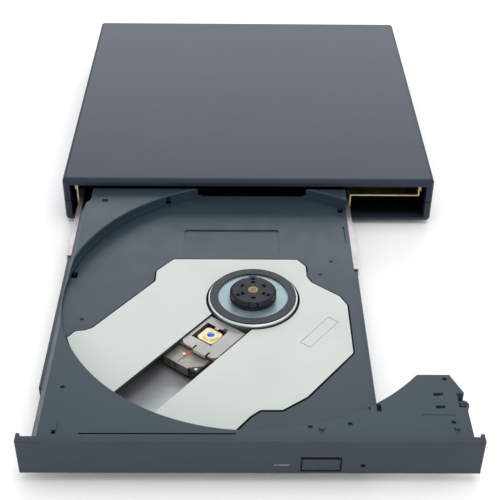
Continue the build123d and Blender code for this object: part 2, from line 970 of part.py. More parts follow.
def tray_shell():
    """The thin-walled form of the tray: body, rim, ear and the disc recess."""
    lower, upper, ear = tray_faces(0)
    lower_in, upper_in, ear_in = tray_faces(tray_skin)
    body = slab(lower, tray_bottom, disc_floor) + slab(upper, disc_floor, tray_top)
    body += slab(ear, ear_bottom, tray_top)
    slope = [(-tray_left, disc_floor), (-rim_left, disc_floor), (-rim_left, tray_top)]
    body += profile_along(slope, tray_front, left_end)
    body -= hub_post(floor_radius, disc_floor, tray_top + 1)
    body -= hub_post(disc_recess_radius, recess_ledge, tray_top + 1)
    body -= Pos(hub_x, front + hub_depth, tray_top) * Cone(
        disc_recess_radius, disc_recess_radius + 2 * recess_bevel, 2 * recess_bevel
    )
    body += block(
        hub_x - rear_sill_half_width, hub_x + rear_sill_half_width, tray_back - rear_sill_width, tray_back,
        floor_under, disc_floor + rear_sill_height,
    )
    beyond = block(tray_right, ear_right + 1, 0, ear_back + 1, ear_bottom - 1, tray_top + 1)
    body -= hub_post(disc_recess_radius, ear_bottom - 1, tray_top + 1) & beyond
    body -= slab(lower_in, tray_bottom - 1, floor_under)
    wall = hub_post(disc_recess_radius + tray_skin, tray_bottom - 2, tray_top)
    body -= slab(upper_in, tray_bottom - 1, tray_roof) - wall
    body -= slab(ear_in, ear_bottom - 1, tray_roof) - wall
    return body


def tray():
    """The tray moulding with its tongues, bosses and openings."""
    body = tray_shell()
    body += block(tongue_tip - bay_left, -tray_left, tray_front, left_end, tongue_bottom, tongue_top)
    right_end = bay_right - tongue_tip
    body += block(tray_right, right_end, right_tongue_start, tray_back, tongue_bottom, tongue_top)
    body -= slab(plate_blank(plate_gap), floor_under - 0.1, disc_floor + 0.1)
    mouth_top = disc_floor + pickup_mouth_rise
    body -= on_path(local_box(
        disc_recess_radius - 3, sled_end + sled_travel + 2, -slot_left - 2, slot_right + 0.6,
        floor_under - 0.1, mouth_top,
    )) & hub_post(disc_recess_radius + 2 * tray_skin, floor_under - 1, mouth_top + 1)
    for shape in tray_bosses():
        body += shape
    for shape in tray_cuts():
        body -= shape
    return body


def tray_bosses():
    """Bosses, pegs and the kicker's block inside and on top of the tray."""
    shapes = []
    for x, d, high in tray_screw_places():
        shapes.append(post(x, d, boss_wall, shield_top, (tray_roof if high else floor_under) + 0.3))
    for x, d in board_screw_places():
        shapes.append(post(x, d, boss_wall, tray_board_top, floor_under + 0.3))
    for edge in tab_edges:
        x, d = damper_place(edge)
        shapes.append(post(x, d, damper_bore, damper_bottom, floor_under + 0.3))
    for x, d in rim_pegs:
        shapes.append(post(x, tray_front + d, peg_radius, tray_roof, tray_top + peg_height))
    bar_front = tray_front + bar_depth
    shapes.append(block(
        bar_x - bar_width / 2, bar_x + bar_width / 2, bar_front, bar_front + bar_length,
        tray_roof, tray_top + bar_height,
    ))
    shapes.append(post(pivot_x, pivot_depth, pivot_radius, ear_bottom + 0.2, tray_roof + 0.3))
    shapes.append(post(roller_x, roller_depth, roller_ledge_radius, ear_bottom, ledge_top))
    shapes.append(block(
        kicker_x - kicker_block_half_width, kicker_x + kicker_block_half_width,
        tray_back - kicker_block, tray_back - tray_skin, shield_top, floor_under + 0.3,
    ))
    return shapes


def tray_cuts():
    """Holes, slots, dimples and the bare recessed panel."""
    panel = block(
        panel_x - panel_width / 2, panel_x + panel_width / 2,
        tray_back - panel_inset - panel_length, tray_back - panel_inset,
        disc_floor - panel_depth, disc_floor + 1,
    )
    cuts = [fillet(panel.edges().filter_by(Axis.Z), 1.0)]
    over = tray_top + 1
    through = tray_skin + 1
    for hole, start, depth in (
        (rear_hole, 0, through), (side_slot, 0, side_slot_depth), (left_hole, -tray_left, through),
    ):
        x0, x1, far, near = hole
        cuts.append(block(
            start + x0, start + x1, tray_back - far, tray_back - near, disc_floor - depth, disc_floor + 1
        ))
    cuts.append(centred(
        recess_window_left + recess_window_width / 2, tray_back - recess_window_inset,
        (disc_floor + recess_window_sill + tray_top - recess_window_head) / 2,
        recess_window_width, 3.0, disc_recess_depth - recess_window_sill - recess_window_head,
    ))
    x0, x1, near, far = front_slit
    cuts.append(block(x0, x1, tray_front + near, tray_front + far, tray_top - front_slit_depth, over))
    cuts.append(post(bar_x, tray_front + bar_depth - bar_hole_radius, bar_hole_radius, tray_roof - 1, over))
    cuts.append(block(
        tongue_tip - bay_left - 1, -tray_left - runner_step_reach, tray_front + runner_block, runner_step,
        tongue_bottom - 1, tongue_top + 1,
    ))
    cuts.append(block(
        tongue_tip - bay_left - 1, -tray_left, runner_gap_depth, runner_gap_depth + runner_gap,
        tongue_bottom - 1, tongue_top + 1,
    ))
    for x, d in floor_dimples:
        cuts.append(post(hub_x + x, hub_depth + d, dimple_radius, disc_floor - dimple_depth, disc_floor + 1))
    for x, d in rim_holes:
        cuts.append(post(x, tray_front + d, dimple_radius, tray_top - rim_hole_depth, over))
    cuts.append(post(
        rear_dimple_inset - tray_left, tray_back - rear_dimple_back, rear_dimple_radius,
        tray_top - rim_hole_depth, over,
    ))
    for hole in ear_slots:
        cuts.append(block(*hole, tray_roof - 1, over))
    x0, x1, near, far = pivot_slot
    cuts.append(block(
        tray_right + x0, tray_right + x1, pivot_depth + near, pivot_depth + far, ear_bottom - 1, over
    ))
    for x, d, _ in tray_screw_places():
        cuts.append(post(x, d, boss_bore, tray_bottom - 1, shield_top + 3))
    for x, d in board_screw_places():
        cuts.append(post(x, d, boss_bore, tray_bottom - 1, tray_board_top + 2.2))
    for edge in tab_edges:
        x, d = damper_place(edge)
        cuts.append(post(x, d, boss_bore, tray_bottom, damper_bottom + 2.6))
    cuts += front_wall_cuts() + ear_cuts() + kicker_cuts()
    return cuts


def front_wall_cuts():
    """Openings in the tray's front wall for the button, the light pipe, the pin and the clips."""
    d = tray_front
    cuts = [
        centred(button_x, d, button_z, stem_width + 1.2, 3 * tray_skin, stem_height + 1.0),
        centred(light_x, d, light_z, light_width + 0.4, 3 * tray_skin, light_height + 0.4),
        pin(release_hole_x, light_z, release_hole_radius + 0.5, d - 1, d + 2 * tray_skin),
    ]
    for x in clip_places:
        width, height = clip_width + 2 * clip_play, clip_thickness + 2 * clip_play
        cuts.append(centred(x, d, tray_bottom + clip_rise, width, 3 * tray_skin, height))
    return cuts


def ear_cuts():
    """Openings in the ear for the lever, the lock post and the roller."""
    over = tray_top + 1
    x0, x1, near, far = lever_window
    near, far = pivot_depth + near, pivot_depth + far
    window = block(tray_right + x0, tray_right + x1, near, far, ear_bottom, tray_roof)
    lock_slot = block(
        lock_x - lock_radius - 0.8, lock_x + lock_radius + 0.8, ear_back - 2 * tray_skin, ear_back + 1,
        ear_bottom - 1, tray_roof,
    )
    reach = roller_radius + roller_gap
    near, back = roller_depth - reach, roller_depth + roller_notch_back
    chamber = block(roller_x - reach, ear_right + 1, near, back, ledge_top, tray_roof)
    notch = block(roller_notch_x, ear_right + 1, near, back, tray_roof - 1, over)
    hole = post(roller_x, roller_depth, roller_pin_radius, ear_bottom - 1, ledge_top + 1)
    line_end = ear_right - ear_line_inset
    line = block(
        line_end - ear_line_length, line_end, ear_line_depth, ear_line_depth + ear_line_width,
        tray_top - ear_line_sink, over,
    )
    return [window, lock_slot, chamber, notch, hole, line]


def kicker_cuts():
    """Bore for the sprung plunger, with a narrower mouth in the tray's rear wall."""
    z = tray_bottom + kicker_rise
    wide = pin(kicker_x, z, kicker_head + 0.1, tray_back - kicker_block + 1.5, tray_back - tray_skin)
    return [wide, pin(kicker_x, z, kicker_radius + 0.05, tray_back - 2 * tray_skin, tray_back + 1)]


def tray_shield():
    """Thin sheet that closes the tray's underside."""
    lower_in = tray_faces(tray_skin + 0.1)[0]
    body = slab(lower_in, tray_bottom, shield_top)
    for x, d, _ in tray_screw_places():
        body -= post(x, d, boss_bore, tray_bottom - 1, shield_top + 1)
    return body


def tray_board():
    """Circuit board under the tray's floor, with its chips."""
    near = tray_back - tray_board_near
    step = tray_board_right - tray_board_step
    z0, z1 = tray_board_bottom, tray_board_top
    board = block(tray_board_left, step, near, tray_back - tray_board_back_gap, z0, z1)
    board += block(step, tray_board_right, near, near + tray_board_short, z0, z1)
    for x, d in board_screw_places():
        board -= post(x, d, boss_bore, tray_bottom, tray_board_top + 1)
    return [board] + [
        centred(tray_board_left + x, near + d, z1 + height / 2, width, width, height)
        for x, d, width, height in tray_chips
    ]


def tray_screws():
    """Screws of the shield, the circuit board and the dampers."""
    head = small_screw_head_height
    group = []
    for x, d, _ in tray_screw_places():
        group.append(screw_up(x, d, boss_bore, small_screw_head, tray_bottom - 0.2, 0.2, shield_top + 2.5))
    for x, d in board_screw_places():
        tip = tray_board_top + 2.0
        group.append(screw_up(x, d, boss_bore, small_screw_head, tray_board_bottom - head, head, tip))
    for edge in tab_edges:
        x, d = damper_place(edge)
        tip = damper_bottom + 2.2
        group.append(screw_up(x, d, boss_bore, damper_waist, damper_bottom - head, head, tip))
    return group


# Bezel and what is set in it
def bezel():
    """Front bezel with short returns at its ends and clips behind it."""
    half = bezel_width / 2
    body = block(-half, half, 0, bezel_thickness, bezel_bottom, bezel_top)
    body = fillet([e for e in body.edges() if e.center().Y < front + 0.01], bezel_edge_radius)
    back = bezel_thickness + bezel_return
    for side in (-1, 1):
        x0, x1 = sorted((side * half, side * (half - bezel_return_wall)))
        body += block(x0, x1, bezel_thickness - 0.1, back, bezel_bottom, bezel_top)
    for x in clip_places:
        z = tray_bottom + clip_rise
        body += centred(x, bezel_thickness + clip_reach / 2 - 0.1, z, clip_width, clip_reach, clip_thickness)
    d = bezel_thickness / 2
    opening_height = button_height + button_gap + button_top_gap
    body -= centred(button_x, d, button_z + (button_top_gap - button_gap) / 2, button_width + 2 * button_gap,
                    bezel_thickness + 2, opening_height)
    pocket_middle = (flange_start + bezel_thickness + 1) / 2
    body -= centred(button_x, pocket_middle, flange_z, flange_width + 2 * flange_play,
                    bezel_thickness + 1 - flange_start, flange_height + 2 * flange_play)
    body -= centred(light_x, d, light_z, light_width, bezel_thickness + 2, light_height)
    return body - pin(release_hole_x, light_z, release_hole_radius, -1, bezel_thickness + 1)


def eject_button():
    """Button with a flange behind the bezel and a stem that reaches the switch."""
    back = flange_start + flange_thickness
    face = centred(button_x, (0.1 + back) / 2, button_z, button_width, back - 0.1, button_height)
    face = fillet([e for e in face.edges() if e.center().Y < front + 0.11], 0.3)
    play = 0.03
    flange = centred(button_x, (flange_start + play + back) / 2, flange_z, flange_width,
                     flange_thickness - play, flange_height)
    middle = (flange_start + stem_tip) / 2
    stem = centred(button_x, middle, button_z, stem_width, stem_tip - flange_start, stem_height)
    return face + flange + stem


def eject_switch():
    """Small push switch on the board behind the button."""
    body = centred(button_x, (switch_face + 0.4 + switch_back) / 2, button_z, 6.0, switch_depth - 0.4, 3.6)
    return body + centred(button_x, switch_face + 0.25, button_z, 2.4, 0.5, 1.6)


def light_pipe():
    """Clear pipe from the board to the slit in the bezel, with a foot on the board."""
    width = light_width - 2 * light_play
    height = light_height - 2 * light_play
    pipe = centred(light_x, (light_sink + switch_back) / 2, light_z, width, switch_back - light_sink, height)
    middle = switch_back - light_foot_length / 2
    return pipe + centred(
        light_x, middle, light_z - light_foot_drop / 2, width, light_foot_length, height + light_foot_drop
    )


def switch_board():
    """Board that stands behind the bezel."""
    return block(
        front_board_left, front_board_right, switch_back, front_board_back, shield_top, floor_under - 0.1
    )


# Traverse plate, dampers and the spindle motor
def tab_solid(edge):
    """A tab that steps down from the plate's edge and reaches under the tray's floor."""
    x, d, heading = tab_place(edge)
    half = tab_half_width
    inner = -plate_thickness - 0.5
    neck = tab_neck_half_width
    upright = local_box(inner, 0, -neck, neck, tab_bottom, plate_top)
    foot_plate = local_box(inner, damper_reach + half, -half, half, tab_bottom, tab_top)
    hole = Pos(damper_reach, 0, tab_bottom) * Cylinder(damper_waist, 4 * plate_thickness)
    return Pos(x, front + d) * Rot(0, 0, heading) * (upright + foot_plate - hole)


def rod_arm(y, end):
    """An arm that steps down from the plate and carries the outer end of a guide rod."""
    half = rod_radius + clamp_wall + 0.1
    z1 = plate_bottom - rod_arm_drop
    z0 = z1 - rod_arm_sheet
    return on_path(
        local_box(rod_arm_start, rod_arm_start + 1.2, y - half, y + half, z0, plate_bottom)
        + local_box(rod_arm_start, end, y - half, y + half, z0, z1)
    )


def traverse_plate():
    """The pale plate with the pickup's slot, the rotor hole, three tabs and two rod arms."""
    body = slab(plate_blank(0), plate_bottom, plate_top)
    body -= hub_post(rotor_radius + rotor_hole_play, plate_bottom - 1, plate_top + 1)
    body -= on_path(local_box(slot_start, 80, -slot_left, slot_right, plate_bottom - 1, plate_top + 1))
    body -= on_path(
        local_box(-7.7, 7.9, 24.2, 28.3, plate_top - 0.12, plate_top + 1)
        - local_box(-7.4, 7.6, 24.5, 28.0, plate_top - 0.2, plate_top + 2)
    )
    for edge in tab_edges:
        body += tab_solid(edge)
    body += rod_arm(-main_rod_offset, main_rod_end)
    body += rod_arm(side_rod_offset, side_rod_end)
    return body


def damper(edge):
    """A rubber grommet with a waist, on the tray's boss."""
    x, d = damper_place(edge)
    body = ring(x, d, damper_outer, damper_bore, damper_bottom, tab_bottom)
    body += ring(x, d, damper_waist, damper_bore, tab_bottom, tab_top)
    return body + ring(x, d, damper_outer, damper_bore, tab_top, damper_top)


def spindle_base():
    """Steel plate under the rotor with the bearing tube and three standoffs."""
    body = hub_post(motor_plate_radius, motor_plate_bottom, motor_plate_top)
    body += hub_post(tube_radius, motor_plate_bottom, tube_top)
    for heading in standoff_headings:
        arm = Rot(0, 0, heading) * (
            local_box(tube_radius, standoff_reach, -2.2, 2.2, motor_plate_bottom, motor_plate_top)
            + Pos(standoff_reach, 0, (motor_plate_bottom + plate_bottom) / 2)
            * Cylinder(standoff_radius, plate_bottom - motor_plate_bottom)
        )
        body += on_path(arm)
    return body - hub_post(sleeve_radius, motor_plate_bottom + sleeve_lift, rotor_top)


def stator():
    """Lamination stack with nine T-shaped teeth."""
    z0, z1 = stator_bottom, stator_bottom + stator_height
    radius = rotor_radius - rotor_skirt - magnet_thickness - stator_play
    middle = Pos(0, 0, (z0 + z1) / 2)
    body = middle * Cylinder(tube_radius + 1.8, stator_height)
    for i in range(stator_teeth):
        turn = Rot(0, 0, i * 360 / stator_teeth)
        body += turn * local_box(tube_radius + 0.8, radius - 0.6, -0.9, 0.9, z0, z1)
        body += turn * local_box(radius - 1.4, radius, -2.6, 2.6, z0, z1)
    body &= middle * Cylinder(radius, stator_height)
    return on_path(body - middle * Cylinder(tube_radius, stator_height + 1))


def turntable():
    """Rotor: a shallow cup with a groove for the rubber ring."""
    body = hub_post(rotor_radius, rotor_bottom, rotor_top)
    body = fillet([e for e in body.edges() if e.center().Z > rotor_top - 0.01], 0.3)
    body -= hub_post(rotor_radius - rotor_skirt, rotor_bottom - 1, rotor_top - rotor_plate)
    body += hub_post(rotor_boss, rotor_top - rotor_plate - 1.0, rotor_top - rotor_plate)
    body -= hub_ring(ring_outer, ring_inner, rotor_top - ring_sink, rotor_top + 1)
    return body - hub_post(shaft_radius, rotor_bottom - 1, rotor_top + 1)


claw_foot = rotor_top + claw_slide_play
claw_top = hub_roof - claw_slide_play
claw_headings = [90.0 + i * 120.0 for i in range(3)]


def disc_hub():
    """Disc hub: a short plug with three roofed channels for the claws, windows and slits."""
    body = hub_post(hub_radius, rotor_top, hub_top)
    body = chamfer([e for e in body.edges() if e.center().Z > hub_top - 0.01], hub_bevel)
    half = claw_width / 2 + claw_play
    over = hub_top + 1
    width = hub_pocket_half_width
    pocket = local_box(hub_pocket_start, hub_pocket_end, -width, width, hub_top - hub_pocket_depth, over)
    width = hub_slit_width / 2
    slit = local_box(hub_radius - hub_slit_length, hub_radius + 1, -width, width, rotor_top, over)
    for heading in claw_headings:
        body -= at_hub(local_box(claw_slot_back, hub_radius + 1, -half, half, rotor_top, hub_roof), heading)
        for x0, x1, reach in hub_windows:
            body -= at_hub(local_box(x0, x1, -reach, reach, hub_roof - 0.1, over), heading)
        body -= at_hub(pocket, heading + 60)
        for turn in (60 - hub_slit_turn, 60 + hub_slit_turn):
            body -= at_hub(slit, heading + turn)
    body -= hub_post(bush_radius, hub_top - bush_height, over)
    return body - hub_post(shaft_radius, rotor_top - 1, over)


def claw():
    """One claw: a block with a sloped nose that grips the disc's edge from above."""
    tip = hub_radius + claw_nose
    face_x = hub_radius - claw_face_inset
    nose = disc_top + nose_start
    profile = [
        (claw_back, claw_foot), (face_x, claw_foot), (face_x, nose), (tip, nose + nose_rise),
        (tip, nose + nose_rise + nose_land), (hub_radius - hub_bevel, claw_top), (claw_back, claw_top),
    ]
    face = make_face(Polyline(*[(x, 0, z) for x, z in profile], close=True))
    return Pos(0, -claw_width / 2, 0) * extrude(face, claw_width, dir=(0, 1, 0))


def claw_spring(heading):
    """A short coil behind a claw, drawn as the tube that it fills."""
    length = claw_back - claw_travel - claw_slot_back - 0.1
    tube = rod_along(0, length, 0, 0, 0.5) - rod_along(-1, length + 1, 0, 0, 0.3)
    return at_hub(Pos(claw_slot_back, 0, (claw_foot + claw_top) / 2) * tube, heading)


def spindle_pieces():
    """Everything that turns with the disc, and the motor that turns it."""
    keep("turntable", turntable(), tray_out)
    keep("turntable_ring", hub_ring(ring_outer, ring_inner, rotor_top - ring_sink, ring_top), tray_out)
    keep("disc_hub", disc_hub(), tray_out)
    for i, heading in enumerate(claw_headings, start=1):
        keep(f"hub_claw_{i}", at_hub(claw(), heading), tray_out)
    keep_group("claw_springs", [claw_spring(heading) for heading in claw_headings], tray_out)
    shaft_bottom = motor_plate_bottom + sleeve_lift + shaft_lift
    keep("spindle_shaft", hub_post(shaft_radius, shaft_bottom, hub_top + shaft_proud), tray_out)
    keep("hub_bush", hub_ring(bush_radius, shaft_radius, hub_top - bush_height, hub_top + 0.05), tray_out)
    magnet_outer = rotor_radius - rotor_skirt
    keep("rotor_magnet", hub_ring(
        magnet_outer, magnet_outer - magnet_thickness, rotor_bottom + 0.2, rotor_top - rotor_plate
    ), tray_out)
    keep("bearing_sleeve", hub_ring(
        sleeve_radius, shaft_radius + shaft_play, motor_plate_bottom + sleeve_lift, tube_top
    ), tray_out)
    keep("stator", stator(), tray_out)
    keep("spindle_base", spindle_base(), tray_out)
    keep("traverse_plate", traverse_plate(), tray_out)
    keep_group("dampers", [damper(edge) for edge in tab_edges], tray_out)


# Pickup and its drive, in the frame whose X runs outwards from the hub
rods = [(-main_rod_offset, main_rod_start, main_rod_end), (side_rod_offset, side_rod_start, side_rod_end)]
sled_top = plate_bottom - 0.4
sled_bottom = sled_top - sled_height
sled_front_top = sled_bottom + sled_front_height
sled_left = -slot_left - 1.2
sled_right = slot_right - sled_play
cover_bottom = plate_bottom + pickup_cover_lift
holder_top = plate_bottom - 0.1
holder_bottom = holder_top - holder_height
well_floor = sled_bottom + 0.8


def rod_clamp(y, start, inner):
    """A block that holds one end of a guide rod under the plate or under a rod arm."""
    half = rod_radius + clamp_wall
    top = plate_bottom if inner else plate_bottom - rod_arm_drop - rod_arm_sheet
    body = local_box(start, start + clamp_length, y - half, y + half, rod_z - half, top)
    return on_path(body - rod_along(start - 1, start + clamp_length + 1, y, rod_z, rod_radius))


def lead_screw():
    """Screw that moves the pickup, with a thin journal at each end."""
    s = bracket_sheet + screw_play
    thread = rod_along(bracket_start + s, bracket_end - s, -screw_offset, screw_z, screw_radius)
    return on_path(thread + rod_along(bracket_start, bracket_end + 4, -screw_offset, screw_z, screw_journal))


def screw_bracket():
    """Strip under the plate with a bent-down end at each end of the lead screw."""
    y0, y1 = -screw_offset - screw_radius - 1.6, -screw_offset + screw_radius + 0.4
    s = bracket_sheet
    body = local_box(bracket_start, bracket_end, y0, y1, plate_bottom - s, plate_bottom)
    for x0 in (bracket_start, bracket_end - s):
        body += local_box(x0, x0 + s, y0, y1, screw_z - screw_radius - 0.8, plate_bottom)
    bore = rod_along(bracket_start - 1, bracket_end + 1, -screw_offset, screw_z, screw_journal + rod_play)
    return on_path(body - bore)


def sled_motor():
    """Stepper with flattened top and bottom, on the bracket's outer end."""
    end = bracket_end + stepper_length
    body = rod_along(bracket_end, end, -screw_offset, screw_z, stepper_radius)
    body &= local_box(bracket_end - 1, end + 1, -screw_offset - 9, -screw_offset + 9, screw_z - stepper_drop,
                      screw_z + stepper_rise)
    return on_path(body - rod_along(bracket_end - 1, bracket_end + 4.3, -screw_offset, screw_z,
                                    screw_journal + rod_play))


def pickup_body():
    """Die-cast pickup body with its bearings on the rods and a well for the lens."""
    body = local_box(sled_start, sled_step, sled_left, sled_right, sled_bottom, sled_top)
    body += local_box(sled_step - 0.1, sled_end, sled_left, sled_right - 2.0, sled_bottom, sled_front_top)
    half = rod_radius + bearing_wall - 0.5
    for x0 in (inner_arm, outer_arm):
        body += local_box(x0, x0 + arm_length, -main_rod_offset - rod_radius - bearing_wall, sled_left + 0.2,
                          rod_z - half, rod_z + half)
    fork_end = fork_start + fork_length
    fork_tip = side_rod_offset + rod_radius + fork_wall
    body += local_box(fork_start, fork_end, sled_right - 0.2, fork_tip, rod_z - half, rod_z + half)
    bore = rod_radius + rod_play
    body -= rod_along(0, 80, -main_rod_offset, rod_z, bore)
    body -= local_box(fork_start - 1, fork_end + 1, side_rod_offset - rod_radius - 0.1,
                      side_rod_offset + rod_radius + 3, rod_z - bore, rod_z + bore)
    well = local_box(lens_start - 4.3, lens_start + 4.7, -4.2, 4.4, well_floor, sled_top + 1)
    return on_path(body - well)


def pickup_cover():
    """Top cover of the pickup: lens window, two feet, and a tab bent down between two notches."""
    x1 = sled_step - 0.3
    y0, y1 = -slot_left + 0.3, slot_right - 0.8
    body = local_box(sled_start - 0.3, x1, y0, y1, cover_bottom, cover_bottom + pickup_sheet)
    body = fillet([e for e in body.edges().filter_by(Axis.Z) if e.center().X > lens_start], pickup_corner)
    body -= local_box(lens_start - 3.9, lens_start + window_length - 3.9, -4.4, window_width - 4.4,
                      cover_bottom - 1, cover_bottom + 1)
    for x0, y in ((19.0, y1 - 0.8), (x1 - 3.0 - pickup_corner, y0)):
        body += local_box(x0, x0 + 1.8, y, y + 0.8, sled_top, cover_bottom + 0.1)
    half = cover_notch_width / 2
    for y in cover_notches:
        start = x1 - cover_notch_length
        body -= local_box(start, x1 + 1, y - half, y + half, cover_bottom - 1, cover_bottom + 1)
    tab_start = sled_step + cover_tab_play
    tab_end = tab_start + pickup_sheet
    y0, y1 = cover_notches[0] + half, cover_notches[1] - half
    body += local_box(x1 - 0.1, tab_end, y0, y1, cover_bottom, cover_bottom + pickup_sheet)
    body += local_box(tab_start, tab_end, y0, y1, cover_bottom - cover_tab_drop, cover_bottom + 0.1)
    return on_path(body)


def pickup_front_cover():
    """Lower front cover with a cut corner and a bent-down front with two windows."""
    points = [
        (sled_step + 0.1, sled_left + 0.2), (sled_end, sled_left + 0.2), (sled_end, apron_right),
        (sled_end - 3.2, sled_right - 2.2), (sled_step + 0.1, sled_right - 2.2),
    ]
    face = make_face(Polyline(*points, close=True))
    body = Pos(0, 0, sled_front_top) * extrude(face, pickup_sheet)
    apron = local_box(
        sled_end, sled_end + apron_sheet, sled_left + 0.6, apron_right,
        sled_bottom + 0.2, sled_front_top + pickup_sheet,
    )
    for y in apron_windows:
        apron -= local_box(sled_end - 1, sled_end + 1, y, y + apron_window_width, sled_bottom + 0.5,
                           sled_front_top - 0.2)
    return on_path(body + apron)


def nut_arm():
    """Leaf from the pickup over its rod, with a half nut on the lead screw."""
    top = plate_bottom - bracket_sheet - 0.15
    low = rod_z + rod_radius + bearing_wall - 0.45
    x1 = nut_start + nut_length
    y = -screw_offset
    body = local_box(nut_start, x1, y + 0.9, sled_left, low, top)
    body += local_box(nut_start, x1, y + 0.9, y + 2.2, screw_z - 1.0, top)
    return on_path(body - rod_along(0, 80, y, screw_z, screw_radius + 0.08))


def lens_holder():
    """Rounded holder with a raised ring about the lens."""
    x0, y0 = lens_start - holder_back, -holder_left
    body = local_box(x0, x0 + holder_length, y0, y0 + holder_width, holder_bottom, holder_top)
    body = fillet(body.edges().filter_by(Axis.Z), 1.2)
    body += Pos(lens_start, 0, holder_top + 0.15) * Cylinder(lens_radius + 0.8, 0.3)
    return on_path(body - Pos(lens_start, 0, holder_top) * Cylinder(lens_radius, 1.4))


def lens():
    """Lens with a domed top."""
    body = Pos(lens_start, 0, holder_top - 0.2) * Cylinder(lens_radius, 1.0)
    ball = Pos(lens_start, 0, holder_top - 1.9) * Sphere(lens_radius + 1.15)
    return on_path(body + (ball & (Pos(lens_start, 0, holder_top + 0.6) * Cylinder(lens_radius, 0.8))))


def pickup_pieces():
    """Guide rods, lead screw, pickup body, covers, magnets, lens holder and lens."""
    keep_group("guide_rods", [
        on_path(rod_along(start, end, y, rod_z, rod_radius)) for y, start, end in rods
    ], tray_out)
    keep_group("rod_clamps", [
        rod_clamp(y, x0, x0 < rod_arm_start)
        for y, start, end in rods for x0 in (start, end - clamp_length)
    ], tray_out)
    keep("lead_screw", lead_screw(), tray_out)
    keep("screw_bracket", screw_bracket(), tray_out)
    keep("sled_motor", sled_motor(), tray_out)
    keep("pickup_body", pickup_body(), tray_out)
    keep("pickup_cover", pickup_cover(), tray_out)
    keep("pickup_front_cover", pickup_front_cover(), tray_out)
    keep("nut_arm", nut_arm(), tray_out)
    keep_group("focus_magnets", [
        on_path(local_box(x0, x0 + 1.2, -2.6, 2.6, well_floor, holder_top - 0.6))
        for x0 in (lens_start - 4.3, lens_start + 3.5)
    ], tray_out)
    keep("lens_holder", lens_holder(), tray_out)
    keep("lens", lens(), tray_out)


# Latch in the ear
lever_bottom = ear_bottom + lever_lift
lever_top = lever_bottom + lever_thickness
hook_x = lock_x + hook_offset
roller_top = tray_roof - 0.05


def bar_between(p, q, width):
    """A flat bar's outline between two places, with round ends."""
    length = math.hypot(q[0] - p[0], q[1] - p[1])
    heading = math.degrees(math.atan2(q[1] - p[1], q[0] - p[0]))
    middle = ((p[0] + q[0]) / 2, front + (p[1] + q[1]) / 2)
    return Pos(*middle) * Rot(0, 0, heading) * SlotCenterToCenter(length, width)


def released(shape):
    """Turn a shape of the latched lever to where it stands with the latch let go."""
    place = Pos(pivot_x, front + pivot_depth, 0)
    return place * Rot(0, 0, release_turn) * place.inverse() * shape


def latch_lever():
    """Lever with a hook for the lock post and a tail down to the release hole."""
    pivot = (pivot_x, pivot_depth)
    elbow = (hook_x, lock_depth - 4.5)
    face = bar_between(pivot, elbow, lever_width)
    face += bar_between(elbow, (hook_x, lock_depth + lock_radius + 1.2), hook_width)
    face += bar_between(pivot, (tail_x, tail_depth), lever_width)
    face += Pos(pivot_x, front + pivot_depth) * Circle(pivot_radius + 1.3)
    hook = lock_depth + lock_radius + hook_gap
    face += outline([
        (lock_x + 0.3, hook), (hook_x + 0.4, hook), (hook_x + 0.4, hook + 2.0), (lock_x + 1.2, hook + 1.5),
    ])
    body = slab(face, lever_bottom, lever_top)
    body += centred(tail_x, tail_depth, (light_z - 1.2 + lever_top) / 2, tail_width, tail_thickness,
                    lever_top - light_z + 1.2)
    body -= post(pivot_x, pivot_depth, pivot_radius + pivot_play, lever_bottom - 1, lever_top + 1)
    return released(body)


def tail_place():
    """Place of the tail with the latch let go, as x and the depth of its rear face."""
    angle = math.radians(release_turn)
    dx = tail_x - pivot_x
    dd = tail_depth + tail_thickness / 2 - pivot_depth
    x = pivot_x + dx * math.cos(angle) - dd * math.sin(angle)
    return x, pivot_depth + dx * math.sin(angle) + dd * math.cos(angle)


def roller_pin():
    """Pin that stands in the ear's ledge, with a slotted head above the roller."""
    head_top = roller_top + 0.05 + roller_pin_head_height
    body = post(roller_x, roller_depth, roller_pin_radius, ear_bottom + 0.1, roller_top + 0.05)
    body += post(roller_x, roller_depth, roller_pin_head, roller_top + 0.05, head_top)
    length = 2.5 * roller_pin_head
    return body - centred(roller_x, roller_depth, head_top, length, 0.3, roller_pin_head_height)


def latch_pieces():
    """Lever, its spring, the solenoid with its plunger, the roller and the kicker."""
    keep("latch_lever", latch_lever(), tray_out)
    gap = tray_roof - lever_top - 0.06
    spring = coil_spring(pivot_radius + 0.5, spring_wire, gap, 2)
    keep("latch_spring", Pos(pivot_x, front + pivot_depth, lever_top + 0.03) * spring, tray_out)
    x, rear_face = tail_place()
    z = shield_top + 2.5
    end = solenoid_start + solenoid_length
    half = solenoid_half_width
    body = block(x - half, x + half, solenoid_start, end, shield_top, floor_under)
    body -= pin(x, z, plunger_radius + plunger_play, solenoid_start - 1, solenoid_start + plunger_bore)
    keep("solenoid", body, tray_out)
    keep("solenoid_plunger", pin(
        x, z, plunger_radius, rear_face + plunger_gap, solenoid_start + plunger_inside
    ), tray_out)
    keep("roller_pin", roller_pin(), tray_out)
    keep("ear_roller", ring(
        roller_x, roller_depth, roller_radius, roller_pin_radius + roller_play, ledge_top + 0.05, roller_top
    ), tray_out)
    kicker_pieces()


def kicker_pieces():
    """Sprung plunger that pushes the tray off the drive's rear wall, and its spring."""
    z = tray_bottom + kicker_rise
    stop = tray_back - 2 * tray_skin - 0.05
    seat = tray_back - kicker_block + 1.5
    plunger = pin(kicker_x, z, kicker_radius, stop - 0.5, drive_back - base_sheet - kicker_gap)
    plunger += pin(kicker_x, z, kicker_head, stop - 0.8, stop)
    keep("kicker_plunger", plunger, tray_out)
    spring = coil_spring(kicker_head - 0.2, spring_wire, stop - 0.85 - seat, 6)
    keep("kicker_spring", Pos(kicker_x, front + seat, z) * Rot(-90, 0, 0) * spring, tray_out)


